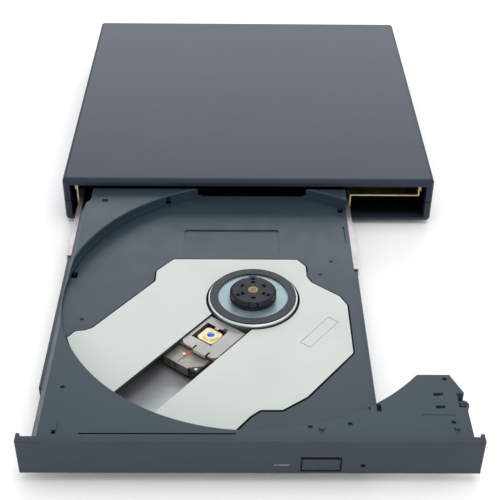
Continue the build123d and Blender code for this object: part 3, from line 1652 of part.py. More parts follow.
def case_pieces():
    """Case, its feet and screws, the bridge board and the sockets."""
    keep("top_shell", top_shell())
    keep("bottom_shell", bottom_shell())
    keep_group("rubber_feet", [foot(x, d, 0, case_bottom + foot_sink) for x, d in feet_places()])
    keep_group("case_screws", case_screws())
    keep_group("bridge_board", bridge_board())
    keep("bridge_connector", connector(drive_back, board_front))
    keep("usb_socket", usb_socket())
    keep("power_socket", power_socket())


def chassis_pieces():
    """Drive chassis, its lid, connector, guides and rails."""
    keep("drive_base", drive_base())
    keep("drive_cover", drive_cover())
    keep_group("cover_screws", [cover_screw(side, d) for side, d in cover_screw_places()])
    keep("drive_connector", connector(drive_back - board_gap, drive_back))
    keep("left_guide", guide(-bay_left, 1))
    keep("right_guide", guide(bay_right, -1))
    keep("left_rail", rail(-bay_left, 1, left_rail_start), rail_out)
    keep("right_rail", rail(bay_right, -1, right_rail_start), rail_out)


def tray_pieces():
    """The tray, its bezel and what both hold."""
    keep("tray", tray(), tray_out)
    keep("tray_shield", tray_shield(), tray_out)
    keep_group("tray_board", tray_board(), tray_out)
    keep_group("tray_screws", tray_screws(), tray_out)
    keep("bezel", bezel(), tray_out)
    keep("eject_button", eject_button(), tray_out)
    keep("eject_switch", eject_switch(), tray_out)
    keep("light_pipe", light_pipe(), tray_out)
    keep("switch_board", switch_board(), tray_out)


case_pieces()
chassis_pieces()
tray_pieces()
spindle_pieces()
pickup_pieces()
latch_pieces()
os.makedirs("parts", exist_ok=True)
for name, shape in parts.items():
    export_step(shape, f"parts/{name}.step")
print(len(parts), "nodes")
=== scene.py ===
import json
import math

import bmesh
import bpy
from mathutils import Matrix, Vector


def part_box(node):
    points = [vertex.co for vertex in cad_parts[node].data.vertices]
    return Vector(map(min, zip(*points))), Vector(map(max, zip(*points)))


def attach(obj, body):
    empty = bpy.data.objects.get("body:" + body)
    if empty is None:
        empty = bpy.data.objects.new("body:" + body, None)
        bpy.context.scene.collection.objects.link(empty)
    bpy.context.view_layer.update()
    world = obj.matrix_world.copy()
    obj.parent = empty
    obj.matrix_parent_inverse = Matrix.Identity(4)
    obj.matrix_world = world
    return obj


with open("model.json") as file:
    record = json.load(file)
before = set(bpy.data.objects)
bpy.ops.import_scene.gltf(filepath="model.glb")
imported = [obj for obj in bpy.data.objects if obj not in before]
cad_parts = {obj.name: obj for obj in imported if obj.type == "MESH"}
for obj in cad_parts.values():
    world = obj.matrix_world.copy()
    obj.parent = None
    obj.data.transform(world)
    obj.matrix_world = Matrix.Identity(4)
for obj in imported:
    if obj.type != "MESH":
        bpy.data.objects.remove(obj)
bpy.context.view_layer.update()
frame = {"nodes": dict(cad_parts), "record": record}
nodes = frame["nodes"]
MM = 0.001

# Camera fitted to the edges of the object in the picture
LENS_MM = 74.71
SENSOR_MM = 36.0
CAMERA_PLACE = (-0.003335, -0.385972, 0.224102)
CAMERA_DOWN = math.radians(36.64)
CAMERA_TURN = -0.013
CAMERA_ROLL = 0.012

# The pickup's path runs outwards from the hub at this heading
PATH_HEADING = math.radians(232.0)
LENS_FROM_HUB = 21.5

# Limits of the part of a noise that most of its values fall in
MOST = (0.3, 0.7)


def linear(code):
    """Scene colour of a six-figure screen colour."""
    values = [int(code[i:i + 2], 16) / 255 for i in (0, 2, 4)]
    return [v / 12.92 if v <= 0.04045 else ((v + 0.055) / 1.055) ** 2.4 for v in values] + [1.0]


def shade(colour, factor):
    """A colour made lighter or darker."""
    return [min(1.0, channel * factor) for channel in colour[:3]] + [1.0]


class Look:
    """A material under construction, with short ways to add its nodes."""

    def __init__(self, name):
        self.material = bpy.data.materials.new(name)
        self.material.use_nodes = True
        self.tree = self.material.node_tree
        self.tree.nodes.clear()
        self.shader = self.tree.nodes.new("ShaderNodeBsdfPrincipled")
        output = self.tree.nodes.new("ShaderNodeOutputMaterial")
        self.join(self.shader.outputs[0], output.inputs[0])
        self.coordinates = self.tree.nodes.new("ShaderNodeTexCoord").outputs["Object"]

    def join(self, source, target):
        """Link an output to an input."""
        self.tree.links.new(source, target)

    def give(self, socket, value):
        """Set a socket from a number, a colour or another node's output."""
        if isinstance(value, bpy.types.NodeSocket):
            self.join(value, socket)
        else:
            socket.default_value = value

    def place(self, stretch=(1, 1, 1), turn=0.0):
        """Coordinates stretched and turned in the level plane."""
        mapping = self.tree.nodes.new("ShaderNodeMapping")
        mapping.inputs["Rotation"].default_value = (0, 0, turn)
        mapping.inputs["Scale"].default_value = stretch
        self.join(self.coordinates, mapping.inputs["Vector"])
        return mapping.outputs[0]

    def noise(self, size, detail, stretch=(1, 1, 1), turn=0.0):
        """Soft noise whose blobs are about a given size in metres."""
        node = self.tree.nodes.new("ShaderNodeTexNoise")
        node.inputs["Scale"].default_value = 1.0 / size
        node.inputs["Detail"].default_value = detail
        self.join(self.place(stretch, turn), node.inputs["Vector"])
        return node.outputs[0]

    def rings(self, centre, spacing):
        """Noise in rings round an upright axis."""
        vector = self.coordinates
        for operation, numbers in (("SUBTRACT", (*centre, 0)), ("MULTIPLY", (1, 1, 0))):
            step = self.tree.nodes.new("ShaderNodeVectorMath")
            step.operation = operation
            self.join(vector, step.inputs[0])
            step.inputs[1].default_value = numbers
            vector = step.outputs[0]
        length = self.tree.nodes.new("ShaderNodeVectorMath")
        length.operation = "LENGTH"
        self.join(vector, length.inputs[0])
        wave = self.tree.nodes.new("ShaderNodeTexNoise")
        wave.noise_dimensions = "1D"
        wave.inputs["Scale"].default_value = 1.0
        wave.inputs["Detail"].default_value = 3.0
        self.join(self.maths("MULTIPLY", length.outputs["Value"], 1.0 / spacing), wave.inputs["W"])
        return wave.outputs[0]

    def cells(self, size):
        """Distance from the middle of the nearest of many scattered cells."""
        node = self.tree.nodes.new("ShaderNodeTexVoronoi")
        node.inputs["Scale"].default_value = 1.0 / size
        self.join(self.place(), node.inputs["Vector"])
        return node.outputs["Distance"]

    def span(self, value, low, high, to_low=0.0, to_high=1.0):
        """Stretch the part of a value between two limits over a new range."""
        node = self.tree.nodes.new("ShaderNodeMapRange")
        node.interpolation_type = "SMOOTHSTEP"
        for name, number in (("From Min", low), ("From Max", high), ("To Min", to_low), ("To Max", to_high)):
            node.inputs[name].default_value = number
        self.give(node.inputs["Value"], value)
        return node.outputs[0]

    def vary(self, size, detail, to_low=0.0, to_high=1.0):
        """Soft noise spread over a range of values."""
        return self.span(self.noise(size, detail), *MOST, to_low, to_high)

    def maths(self, operation, a, b=0.0):
        """One step of arithmetic."""
        node = self.tree.nodes.new("ShaderNodeMath")
        node.operation = operation
        self.give(node.inputs[0], a)
        self.give(node.inputs[1], b)
        return node.outputs[0]

    def mix(self, factor, a, b):
        """One colour laid over another."""
        node = self.tree.nodes.new("ShaderNodeMix")
        node.data_type = "RGBA"
        self.give(node.inputs[0], factor)
        self.give(node.inputs[6], a)
        self.give(node.inputs[7], b)
        return node.outputs[2]

    def edges(self, radius):
        """1 on edges and corners, 0 on flat faces."""
        bevel = self.tree.nodes.new("ShaderNodeBevel")
        bevel.samples = 4
        bevel.inputs["Radius"].default_value = radius
        geometry = self.tree.nodes.new("ShaderNodeNewGeometry")
        dot = self.tree.nodes.new("ShaderNodeVectorMath")
        dot.operation = "DOT_PRODUCT"
        self.join(bevel.outputs[0], dot.inputs[0])
        self.join(geometry.outputs["Normal"], dot.inputs[1])
        return self.span(dot.outputs["Value"], 0.995, 0.9)

    def inside(self, low, high, fade):
        """1 between a box's sides, floor and roof, rising behind its front and on without a back limit."""
        parts = self.tree.nodes.new("ShaderNodeSeparateXYZ")
        self.join(self.coordinates, parts.inputs[0])
        result = self.span(parts.outputs[1], low[1], low[1] + fade)
        for axis in (0, 2):
            for limit, operation in ((low[axis], "GREATER_THAN"), (high[axis], "LESS_THAN")):
                result = self.maths("MULTIPLY", result, self.maths(operation, parts.outputs[axis], limit))
        return result

    def upright(self):
        """1 on faces that stand upright, 0 on level ones."""
        geometry = self.tree.nodes.new("ShaderNodeNewGeometry")
        parts = self.tree.nodes.new("ShaderNodeSeparateXYZ")
        self.join(geometry.outputs["True Normal"], parts.inputs[0])
        return self.maths("LESS_THAN", self.maths("ABSOLUTE", parts.outputs[2]), 0.5)

    def bump(self, height, distance):
        """A normal that follows a height map whose full rise is given in metres."""
        node = self.tree.nodes.new("ShaderNodeBump")
        node.inputs["Strength"].default_value = 1.0
        node.inputs["Distance"].default_value = distance
        self.join(height, node.inputs["Height"])
        return node.outputs[0]

    def finish(self, **inputs):
        """Set the shader's own inputs and give back the material."""
        for name, value in inputs.items():
            self.give(self.shader.inputs[name.replace("_", " ")], value)
        return self.material


def plastic(name, code, roughness, grain=0.25 * MM, relief=0.006 * MM, wear_and_highlight=0.35, gloss=0.4, clouds=0.025,
            uneven=0.05, shade_and_seam_boxes=()):
    """Moulded plastic: fine grain, faint clouds, dust, edges lightened as rubbed wear and painted highlight,
    and colour darkened inside given boxes as painted shade in hollows and as dark seams.
    """
    look = Look(name)
    base = linear(code)
    patches = look.vary(18 * MM, 4)
    colour = look.mix(patches, shade(base, 1 - clouds), shade(base, 1 + clouds))
    fine = look.noise(grain, 2)
    colour = look.mix(look.span(fine, 0.35, 0.65, 0.0, 0.35), colour, shade(base, 0.82))
    dust = look.span(look.noise(0.9 * MM, 1), 0.68, 0.76, 0.0, 0.22)
    colour = look.mix(dust, colour, shade(base, 1.7))
    # Lighter edges: partly rubbed wear, partly a painted highlight.
    edge = look.maths("MULTIPLY", look.edges(0.35 * MM), wear_and_highlight)
    colour = look.mix(edge, colour, shade(base, 2.1))
    # Darker inside the given boxes: painted shade in the case's hollow inside, and the dark seam between its
    # halves.
    for room in shade_and_seam_boxes:
        colour = look.mix(look.inside(*room), colour, shade(base, 0.14))
    rough = look.vary(6 * MM, 3, roughness - uneven, roughness + uneven)
    rough = look.maths("SUBTRACT", rough, look.maths("MULTIPLY", edge, 0.25))
    normal = look.bump(fine, relief)
    return look.finish(Base_Color=colour, Roughness=rough, Normal=normal, Specular_IOR_Level=gloss)


def rubber(name, code, roughness):
    """Rubber with a dull bloom and a fine uneven skin."""
    look = Look(name)
    base = linear(code)
    bloom = look.span(look.noise(3 * MM, 5), 0.35, 0.7)
    colour = look.mix(bloom, base, shade(base, 1.3))
    # Lighter edges: partly rubbed wear, partly a painted highlight.
    edge = look.edges(0.3 * MM)
    colour = look.mix(look.maths("MULTIPLY", edge, 0.3), colour, shade(base, 1.8))
    rough = look.vary(1.5 * MM, 2, roughness - 0.06, roughness + 0.06)
    normal = look.bump(look.noise(0.18 * MM, 3), 0.01 * MM)
    return look.finish(Base_Color=colour, Roughness=rough, Normal=normal, Specular_IOR_Level=0.3)


def sheet(name, code, roughness, metal=1.0, turn=0.0, brushed=0.16, stain=None, wear_and_highlight=0.25):
    """Rolled or plated sheet: streaks along one direction, cloudy plating, and edges lightened as bright cut
    edges and painted highlight.
    """
    look = Look(name)
    base = linear(code)
    streaks = look.noise(0.22 * MM, 4, stretch=(0.03, 1, 1), turn=turn)
    clouds = look.vary(9 * MM, 4)
    colour = look.mix(clouds, shade(base, 0.88), shade(base, 1.08))
    colour = look.mix(look.span(streaks, *MOST, 0.0, 0.3), colour, shade(base, 0.75))
    if stain is not None:
        patches = look.span(look.noise(14 * MM, 5), 0.48, 0.66, 0.0, 0.75)
        colour = look.mix(patches, colour, linear(stain))
    # Lighter edges: partly bright cut metal, partly a painted highlight.
    edge = look.maths("MULTIPLY", look.edges(0.15 * MM), wear_and_highlight)
    colour = look.mix(edge, colour, shade(base, 1.5))
    rough = look.span(streaks, 0.25, 0.75, roughness - brushed / 2, roughness + brushed / 2)
    normal = look.bump(streaks, 0.004 * MM)
    return look.finish(Base_Color=colour, Roughness=rough, Normal=normal, Metallic=metal)


def turned(name, code, roughness, centre=None, metal=1.0):
    """Ground or turned metal: close fine marks, round an axis where a centre is given."""
    look = Look(name)
    base = linear(code)
    if centre is None:
        marks = look.noise(0.12 * MM, 3, stretch=(1, 1, 0.2))
    else:
        marks = look.rings(centre, 0.2 * MM)
    colour = look.mix(look.span(marks, *MOST), shade(base, 0.86), shade(base, 1.06))
    # Lighter edges: partly wear, partly a painted highlight.
    edge = look.maths("MULTIPLY", look.edges(0.12 * MM), 0.5)
    colour = look.mix(edge, colour, shade(base, 1.35))
    smudge = look.span(look.noise(4 * MM, 4), 0.35, 0.7, -0.04, 0.08)
    rough = look.maths("ADD", look.span(marks, *MOST, roughness - 0.05, roughness + 0.05), smudge)
    normal = look.bump(marks, 0.003 * MM)
    return look.finish(Base_Color=colour, Roughness=rough, Normal=normal, Metallic=metal)


def paint(name, code, roughness):
    """Smooth pale paint on sheet metal: faint orange peel, specks of dust, edges lightened as wear and
    painted highlight, upright faces darkened as painted shade.
    """
    look = Look(name)
    base = linear(code)
    clouds = look.vary(22 * MM, 4)
    colour = look.mix(clouds, shade(base, 0.965), shade(base, 1.02))
    specks = look.span(look.noise(0.5 * MM, 2), 0.66, 0.74, 0.0, 0.25)
    colour = look.mix(specks, colour, shade(base, 0.72))
    # Lighter edges: partly wear, partly a painted highlight.
    edge = look.maths("MULTIPLY", look.edges(0.2 * MM), 0.3)
    colour = look.mix(edge, colour, linear("f4f6f2"))
    # Upright faces darkened: painted shade for the dark gap round the plate.
    colour = look.mix(look.upright(), colour, linear("3b3f3c"))
    rough = look.vary(5 * MM, 3, roughness - 0.05, roughness + 0.08)
    normal = look.bump(look.noise(0.8 * MM, 2), 0.01 * MM)
    return look.finish(Base_Color=colour, Roughness=rough, Normal=normal, Specular_IOR_Level=0.45)


def circuit(name, code):
    """Solder mask with tracks just under it and a few bright pads."""
    look = Look(name)
    base = linear(code)
    bricks = look.tree.nodes.new("ShaderNodeTexBrick")
    bricks.inputs["Scale"].default_value = 260.0
    bricks.inputs["Mortar Size"].default_value = 0.06
    bricks.inputs["Mortar Smooth"].default_value = 0.2
    look.join(look.place(), bricks.inputs["Vector"])
    tracks = bricks.outputs["Fac"]
    colour = look.mix(look.span(tracks, 0, 1, 0.0, 0.6), base, shade(base, 1.8))
    pads = look.span(look.cells(1.7 * MM), 0.16, 0.12)
    colour = look.mix(look.maths("MULTIPLY", pads, 0.8), colour, linear("c9c2a4"))
    rough = look.vary(2 * MM, 3, 0.22, 0.38)
    return look.finish(Base_Color=colour, Roughness=rough, Normal=look.bump(tracks, 0.015 * MM))


def coated_glass():
    """Small lens with a saturated coating, a clear gloss over it, and a pale painted sheen towards its
    outline.
    """
    look = Look("lens_glass")
    swirl = look.vary(0.9 * MM, 3)
    sheen_facing = look.tree.nodes.new("ShaderNodeLayerWeight")
    sheen_facing.inputs["Blend"].default_value = 0.35
    colour = look.mix(swirl, linear("143f9a"), linear("1f5ac4"))
    # Paler towards the outline: a painted sheen.
    colour = look.mix(look.span(sheen_facing.outputs["Facing"], 0.5, 1.0, 0.0, 0.4), colour, linear("8fb8ea"))
    rough = look.vary(0.4 * MM, 2, 0.06, 0.14)
    return look.finish(Base_Color=colour, Roughness=rough, Coat_Weight=0.5, Coat_Roughness=0.06,
                       Specular_IOR_Level=0.4)


def glued_plastic():
    """Cream moulding whose edges are amber with dried glue."""
    look = Look("cream_plastic")
    base = linear("e0cc86")
    clouds = look.span(look.noise(1.1 * MM, 4), 0.35, 0.65)
    colour = look.mix(clouds, base, linear("ebe0bb"))
    edge = look.edges(0.5 * MM)
    glue = look.maths("MULTIPLY", edge, look.span(look.noise(1.4 * MM, 3), 0.3, 0.6))
    colour = look.mix(glue, colour, linear("cfa040"))
    rough = look.vary(0.7 * MM, 3, 0.28, 0.5)
    normal = look.bump(look.noise(0.3 * MM, 2), 0.01 * MM)
    return look.finish(Base_Color=colour, Roughness=rough, Normal=normal)


def light_pipe():
    """Clear plastic with a frosted, faintly milky end."""
    look = Look("clear_plastic")
    clouds = look.vary(1.2 * MM, 3)
    colour = look.mix(clouds, linear("5a5f64"), linear("777c81"))
    rough = look.vary(0.3 * MM, 3, 0.22, 0.4)
    normal = look.bump(look.noise(0.2 * MM, 2), 0.004 * MM)
    return look.finish(Base_Color=colour, Roughness=rough, Normal=normal, Transmission_Weight=0.25)


# Shapes
hub_low, hub_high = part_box("disc_hub")
hub_x = (hub_low[0] + hub_high[0]) / 2
hub_y = (hub_low[1] + hub_high[1]) / 2


def on_path(u, v, z):
    """A place given in millimetres along and across the pickup's path, with its height in metres."""
    c, s = math.cos(PATH_HEADING), math.sin(PATH_HEADING)
    return Vector((hub_x + (u * c - v * s) * MM, hub_y + (u * s + v * c) * MM, z))


def mesh_object(name, bm, look, body, smooth=False):
    """File a finished mesh as a piece that rides on a body."""
    bmesh.ops.recalc_face_normals(bm, faces=bm.faces)
    mesh = bpy.data.meshes.new(name)
    bm.to_mesh(mesh)
    bm.free()
    for polygon in mesh.polygons:
        polygon.use_smooth = smooth
    obj = bpy.data.objects.new(name, mesh)
    bpy.context.collection.objects.link(obj)
    mesh.materials.append(look)
    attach(obj, body)
    return obj


def lathe(name, profile, centre, look, body, steps=72):
    """A ring made by turning a closed profile of radius and height, in millimetres, about an axis."""
    bm = bmesh.new()
    rings = []
    for i in range(steps):
        angle = 2 * math.pi * i / steps
        rings.append([
            bm.verts.new((centre.x + r * MM * math.cos(angle), centre.y + r * MM * math.sin(angle),
                          centre.z + z * MM))
            for r, z in profile
        ])
    for i, ring in enumerate(rings):
        other = rings[(i + 1) % steps]
        for k in range(len(profile)):
            m = (k + 1) % len(profile)
            bm.faces.new((ring[k], ring[m], other[m], other[k]))
    return mesh_object(name, bm, look, body, smooth=True)


def skin(bm, loops):
    """Faces between loops of vertices, and one over each end."""
    for a, b in zip(loops, loops[1:]):
        for k in range(len(a)):
            m = (k + 1) % len(a)
            bm.faces.new((a[k], a[m], b[m], b[k]))
    bm.faces.new(loops[0])
    bm.faces.new(list(reversed(loops[-1])))


def ribbon(name, points, width, thickness, look, body):
    """A flat strip that follows points, level across."""
    bm = bmesh.new()
    up = Vector((0, 0, thickness * MM / 2))
    sections = []
    for i, point in enumerate(points):
        ahead = points[min(i + 1, len(points) - 1)] - points[max(i - 1, 0)]
        across = Vector((-ahead.y, ahead.x, 0)).normalized() * width * MM / 2
        corners = (across + up, up - across, -across - up, across - up)
        sections.append([bm.verts.new(point + corner) for corner in corners])
    skin(bm, sections)
    return mesh_object(name, bm, look, body)


def blob(name, centre, size, look, body):
    """A drop of glue: a lumpy flattened dome."""
    bm = bmesh.new()
    bmesh.ops.create_icosphere(bm, subdivisions=3, radius=1.0)
    for vert in bm.verts:
        p = vert.co.copy()
        swell = 1 + 0.12 * math.sin(5 * p.x + 1.3) * math.cos(4 * p.y)
        shape = Vector((p.x * size[0] * swell, p.y * size[1] * swell, max(p.z, -0.2) * size[2]))
        vert.co = centre + shape * MM
    return mesh_object(name, bm, look, body, smooth=True)


def wire(name, points, radius, look, body):
    """A thin round wire through points."""
    curve = bpy.data.curves.new(name, "CURVE")
    curve.dimensions = "3D"
    curve.bevel_depth = radius * MM
    curve.bevel_resolution = 3
    spline = curve.splines.new("NURBS")
    spline.points.add(len(points) - 1)
    for control, point in zip(spline.points, points):
        control.co = (*point, 1.0)
    spline.order_u = 3
    spline.use_endpoint_u = True
    obj = bpy.data.objects.new(name, curve)
    bpy.context.collection.objects.link(obj)
    curve.materials.append(look)
    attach(obj, body)
    return obj


def coil_block(name, u, v, z0, z1, length, width, turns, look, body):
    """A small wound coil with rounded corners, its turns lying one on another."""
    bm = bmesh.new()
    corner = min(length, width) * 0.35
    outline = []
    for cu, cv, start in ((1, 1, 0), (-1, 1, 90), (-1, -1, 180), (1, -1, 270)):
        for step in range(5):
            angle = math.radians(start + step * 22.5)
            outline.append((cu * (length / 2 - corner) + corner * math.cos(angle),
                            cv * (width / 2 - corner) + corner * math.sin(angle)))
    rows = []
    height = (z1 - z0) / turns
    for turn in range(turns):
        for part, bulge in ((0.0, 0.93), (0.25, 1.0), (0.75, 1.0)):
            rows.append((z0 + (turn + part) * height, bulge))
    rows.append((z1, 0.93))
    loops = [[bm.verts.new(on_path(u + x * k, v + y * k, z)) for x, y in outline] for z, k in rows]
    skin(bm, loops)
    return mesh_object(name, bm, look, body)


def plate(name, outline, z0, z1, look):
    """A flat piece of the sled with softened edges, its outline given along and across the path."""
    bm = bmesh.new()
    skin(bm, [[bm.verts.new(on_path(u, v, z)) for u, v in outline] for z in (z0, z1)])
    obj = mesh_object(name, bm, look, "sled_body")
    rounding = obj.modifiers.new("edge", "BEVEL")
    rounding.width = 0.05 * MM
    rounding.segments = 2
    return obj


# The pickup's top cover, in millimetres along and across the pickup's path
COVER_END = 29.42
COVER_ROUND = 2.1
COVER_SIDES = (-3.5, 6.2)
NOTCHES = (-0.36, 4.97)
NOTCH_HALF = 0.35


def corner_points(side, turn_from, turn_to, z):
    """Points round one front corner of the pickup's top cover."""
    steps = 6
    points = []
    for i in range(steps + 1):
        angle = math.radians(turn_from + (turn_to - turn_from) * i / steps)
        u = COVER_END - COVER_ROUND + COVER_ROUND * math.cos(angle)
        v = side + COVER_ROUND * math.sin(angle)
        points.append(on_path(u, v, z))
    return points


# Floor, light and camera
def floor():
    """A plain pale floor."""
    bm = bmesh.new()
    bmesh.ops.create_grid(bm, x_segments=1, y_segments=1, size=4.0)
    mesh = bpy.data.meshes.new("floor")
    bm.to_mesh(mesh)
    bm.free()
    obj = bpy.data.objects.new("floor", mesh)
    bpy.context.collection.objects.link(obj)
    look = Look("floor_paint")
    tone = look.vary(0.35, 3)
    colour = look.mix(tone, (0.96, 0.96, 0.96, 1), (0.98, 0.98, 0.98, 1))
    mesh.materials.append(look.finish(Base_Color=colour, Roughness=0.9, Specular_IOR_Level=0.1))


def softbox(name, place, target, size, power, tint):
    """An area light that faces a place."""
    light = bpy.data.lights.new(name, "AREA")
    light.shape = "RECTANGLE"
    light.size, light.size_y = size
    light.energy = power
    light.color = tint
    obj = bpy.data.objects.new(name, light)
    bpy.context.collection.objects.link(obj)
    obj.location = place
    obj.rotation_euler = (Vector(target) - Vector(place)).to_track_quat("-Z", "Y").to_euler()


def camera():
    """The camera that took the picture."""
    ct, st = math.cos(CAMERA_TURN), math.sin(CAMERA_TURN)
    cd, sd = math.cos(CAMERA_DOWN), math.sin(CAMERA_DOWN)
    forward = Vector((-st * cd, ct * cd, -sd))
    right = Vector((ct, st, 0))
    up = right.cross(forward)
    cr, sr = math.cos(CAMERA_ROLL), math.sin(CAMERA_ROLL)
    right, up = cr * right + sr * up, cr * up - sr * right
    data = bpy.data.cameras.new("camera")
    data.lens = LENS_MM
    data.sensor_width = SENSOR_MM
    data.sensor_fit = "HORIZONTAL"
    data.clip_start = 0.01
    obj = bpy.data.objects.new("camera", data)
    bpy.context.collection.objects.link(obj)
    turn = Matrix((right, up, -forward)).transposed().to_4x4()
    obj.matrix_world = Matrix.Translation(CAMERA_PLACE) @ turn
    scene.camera = obj


# Painted shade on the case's inner faces, a little darker the further in they are
bottom_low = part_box("bottom_shell")[0]
top_low, top_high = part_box("top_shell")
WALL = 2.5 * MM
FLOOR_WALL = 1.7 * MM
SHADE_FADE = 6 * MM
case_shade_room = (
    (top_low[0] + WALL, top_low[1], bottom_low[2] + FLOOR_WALL),
    (top_high[0] - WALL, top_high[1], top_high[2] - WALL),
    SHADE_FADE,
)

# The fine dark line where the two halves of the case meet
SPLIT_RISE = 8.65 * MM
SEAM_HALF = 0.2 * MM
FAR = 1.0
split_height = bottom_low[2] + SPLIT_RISE
case_seam = ((-FAR, -FAR, split_height - SEAM_HALF), (FAR, FAR, split_height + SEAM_HALF), 0.1 * MM)

looks = {
    "case_plastic": plastic("case_plastic", "2a3340", 0.38, grain=0.16 * MM, relief=0.004 * MM, wear_and_highlight=0.2,
                            gloss=0.14, clouds=0.01, uneven=0.006, shade_and_seam_boxes=(case_shade_room, case_seam)),
    "tray_plastic": plastic("tray_plastic", "273741", 0.46, grain=0.2 * MM, wear_and_highlight=0.3, uneven=0.03),
    "bezel_plastic": plastic("bezel_plastic", "2d363f", 0.46, grain=0.18 * MM, wear_and_highlight=0.3, gloss=0.3),
    "black_plastic": plastic("black_plastic", "1c1e22", 0.4, grain=0.12 * MM, relief=0.003 * MM, wear_and_highlight=0.3),
    "white_plastic": plastic("white_plastic", "ded9cf", 0.38, grain=0.15 * MM, wear_and_highlight=0.1),
    "cream_plastic": glued_plastic(),
    "clear_plastic": light_pipe(),
    "rubber_black": rubber("rubber_black", "232324", 0.72),
    "rubber_grey": rubber("rubber_grey", "2f3237", 0.6),
    "pale_paint": paint("pale_paint", "bdc3be", 0.42),
    "zinc_steel": sheet("zinc_steel", "b9bab8", 0.38, turn=0.4),
    "gold_steel": sheet("gold_steel", "c9bfa0", 0.34, turn=1.57, stain="a98f55"),
    "bright_steel": sheet("bright_steel", "c4cdd0", 0.34, turn=PATH_HEADING),
    "dark_steel": sheet("dark_steel", "45454a", 0.4, turn=0.2),
    "chrome_steel": turned("chrome_steel", "d2d4d8", 0.16),
    "brass": turned("brass", "8f7440", 0.3, centre=(hub_x, hub_y)),
    "cast_metal": sheet("cast_metal", "8d8d8b", 0.5, brushed=0.08, turn=1.0),
    "magnet": sheet("magnet", "4b4b50", 0.45, brushed=0.05),
    "board_green": circuit("board_green", "14492f"),
    "lens_glass": coated_glass(),
}
rotor_look = turned("rotor_steel", "8a9ca1", 0.44, centre=(hub_x, hub_y), metal=0.75)
shaft_look = turned("shaft_steel", "6d6858", 0.45, centre=(hub_x, hub_y), metal=0.8)
hub_look = plastic("hub_plastic", "1c2028", 0.5, grain=0.12 * MM, relief=0.003 * MM, wear_and_highlight=0.2, gloss=0.2)
shield_look = sheet("shield_steel", "a5a9ac", 0.5, turn=PATH_HEADING, brushed=0.1)
cover_look = sheet("pickup_steel", "a2a19d", 0.46, turn=PATH_HEADING, brushed=0.1)
front_cover_look = sheet("pickup_front_steel", "908e85", 0.48, turn=PATH_HEADING, brushed=0.1)
rail_look = sheet("rail_steel", "ada5a8", 0.42, turn=1.57, brushed=0.1)
own_looks = {
    "turntable": rotor_look,
    "spindle_shaft": shaft_look,
    "disc_hub": hub_look,
    "hub_claw_1": hub_look,
    "hub_claw_2": hub_look,
    "hub_claw_3": hub_look,
    "tray_shield": shield_look,
    "pickup_cover": cover_look,
    "pickup_front_cover": front_cover_look,
    "left_rail": rail_look,
    "right_rail": rail_look,
}

slot_of = {row["node"]: row["material_slot"] for row in frame["record"]["subparts"]}
for name, obj in nodes.items():
    obj.data.materials.clear()
    obj.data.materials.append(own_looks.get(name, looks[slot_of[name]]))

# Pieces that only the scene has. Places on the pickup's path and sizes are in millimetres.
# Pale steel for the painted highlight on the turntable's rim.
rotor_highlight_look = sheet("rotor_painted_highlight", "dfe9e8", 0.4, metal=0.3, brushed=0.08)
copper_look = turned("copper_wire", "a4532a", 0.34)
flex_look = plastic("flex_film", "b85f26", 0.34, grain=0.3 * MM, wear_and_highlight=0.1)
glue_look = plastic("glue_drop", "ece9e2", 0.3, grain=0.4 * MM, wear_and_highlight=0.0)
# Pale steel for the painted highlight strips on the cover's edges, and for the sled's screw head.
highlight_and_screw_look = sheet("highlight_strip_and_screw_steel", "d8cfc2", 0.42, turn=PATH_HEADING, brushed=0.08, metal=0.55)
black_look = looks["black_plastic"]

rotor_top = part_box("turntable")[1][2]
holder_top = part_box("lens_holder")[1][2]
holder_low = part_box("lens_holder")[0][2]
cover_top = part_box("pickup_cover")[1][2]
front_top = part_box("pickup_front_cover")[1][2]
body_top = front_top - 0.3 * MM

# Pale skin on the turntable's rim, outside its rubber ring: a painted highlight on the rim's side, which is
# otherwise in shade
ROTOR_HIGHLIGHT_PROFILE = [(13.92, 0.04), (14.1, 0.05), (14.34, -0.08), (14.43, -0.3), (14.43, -0.75), (14.38, -0.75),
             (14.38, -0.3), (14.1, -0.02), (13.92, -0.02)]
rotor_middle = Vector((hub_x, hub_y, rotor_top))
lathe("rotor_highlight_skin", ROTOR_HIGHLIGHT_PROFILE, rotor_middle, rotor_highlight_look, "spindle_body")

# Collar round the lens, and a coil at each end of its holder
LENS_RING = [(1.16, 0.14), (1.24, 0.24), (1.72, 0.16), (1.92, 0.02), (1.92, -0.02), (1.16, -0.02)]
COIL_PLACES = (LENS_FROM_HUB - 3.2, LENS_FROM_HUB + 3.35)
COIL_SIDE = -0.2
COIL_LENGTH = 0.5
COIL_WIDTH = 3.6
COIL_TURNS = 5
coil_low = holder_low + 0.5 * MM
coil_top = holder_top - 0.75 * MM
lathe("lens_ring", LENS_RING, on_path(LENS_FROM_HUB, 0, holder_top), looks["white_plastic"], "lens_body")
for i, u in enumerate(COIL_PLACES):
    coil_block(f"focus_coil_{i + 1}", u, COIL_SIDE, coil_low, coil_top, COIL_LENGTH, COIL_WIDTH, COIL_TURNS,
               copper_look, "lens_body")

# Orange flex on the lower cover, held by a drop of glue
FLEX_PATH = ((29.75, -0.75, 0.22), (30.3, -0.8, 0.14), (31.2, -0.95, 0.1), (32.4, -1.1, 0.09),
             (33.6, -1.15, 0.07))
FLEX_WIDTH = 0.6
FLEX_THICKNESS = 0.1
GLUE_PLACE = (32.1, -1.9)
GLUE_SIZE = (0.55, 0.42, 0.3)
flex_points = [on_path(u, v, front_top + z * MM) for u, v, z in FLEX_PATH]
ribbon("pickup_flex", flex_points, FLEX_WIDTH, FLEX_THICKNESS, flex_look, "sled_body")
glue_middle = on_path(*GLUE_PLACE, front_top + 0.05 * MM)
blob("flex_glue", glue_middle, GLUE_SIZE, glue_look, "sled_body")

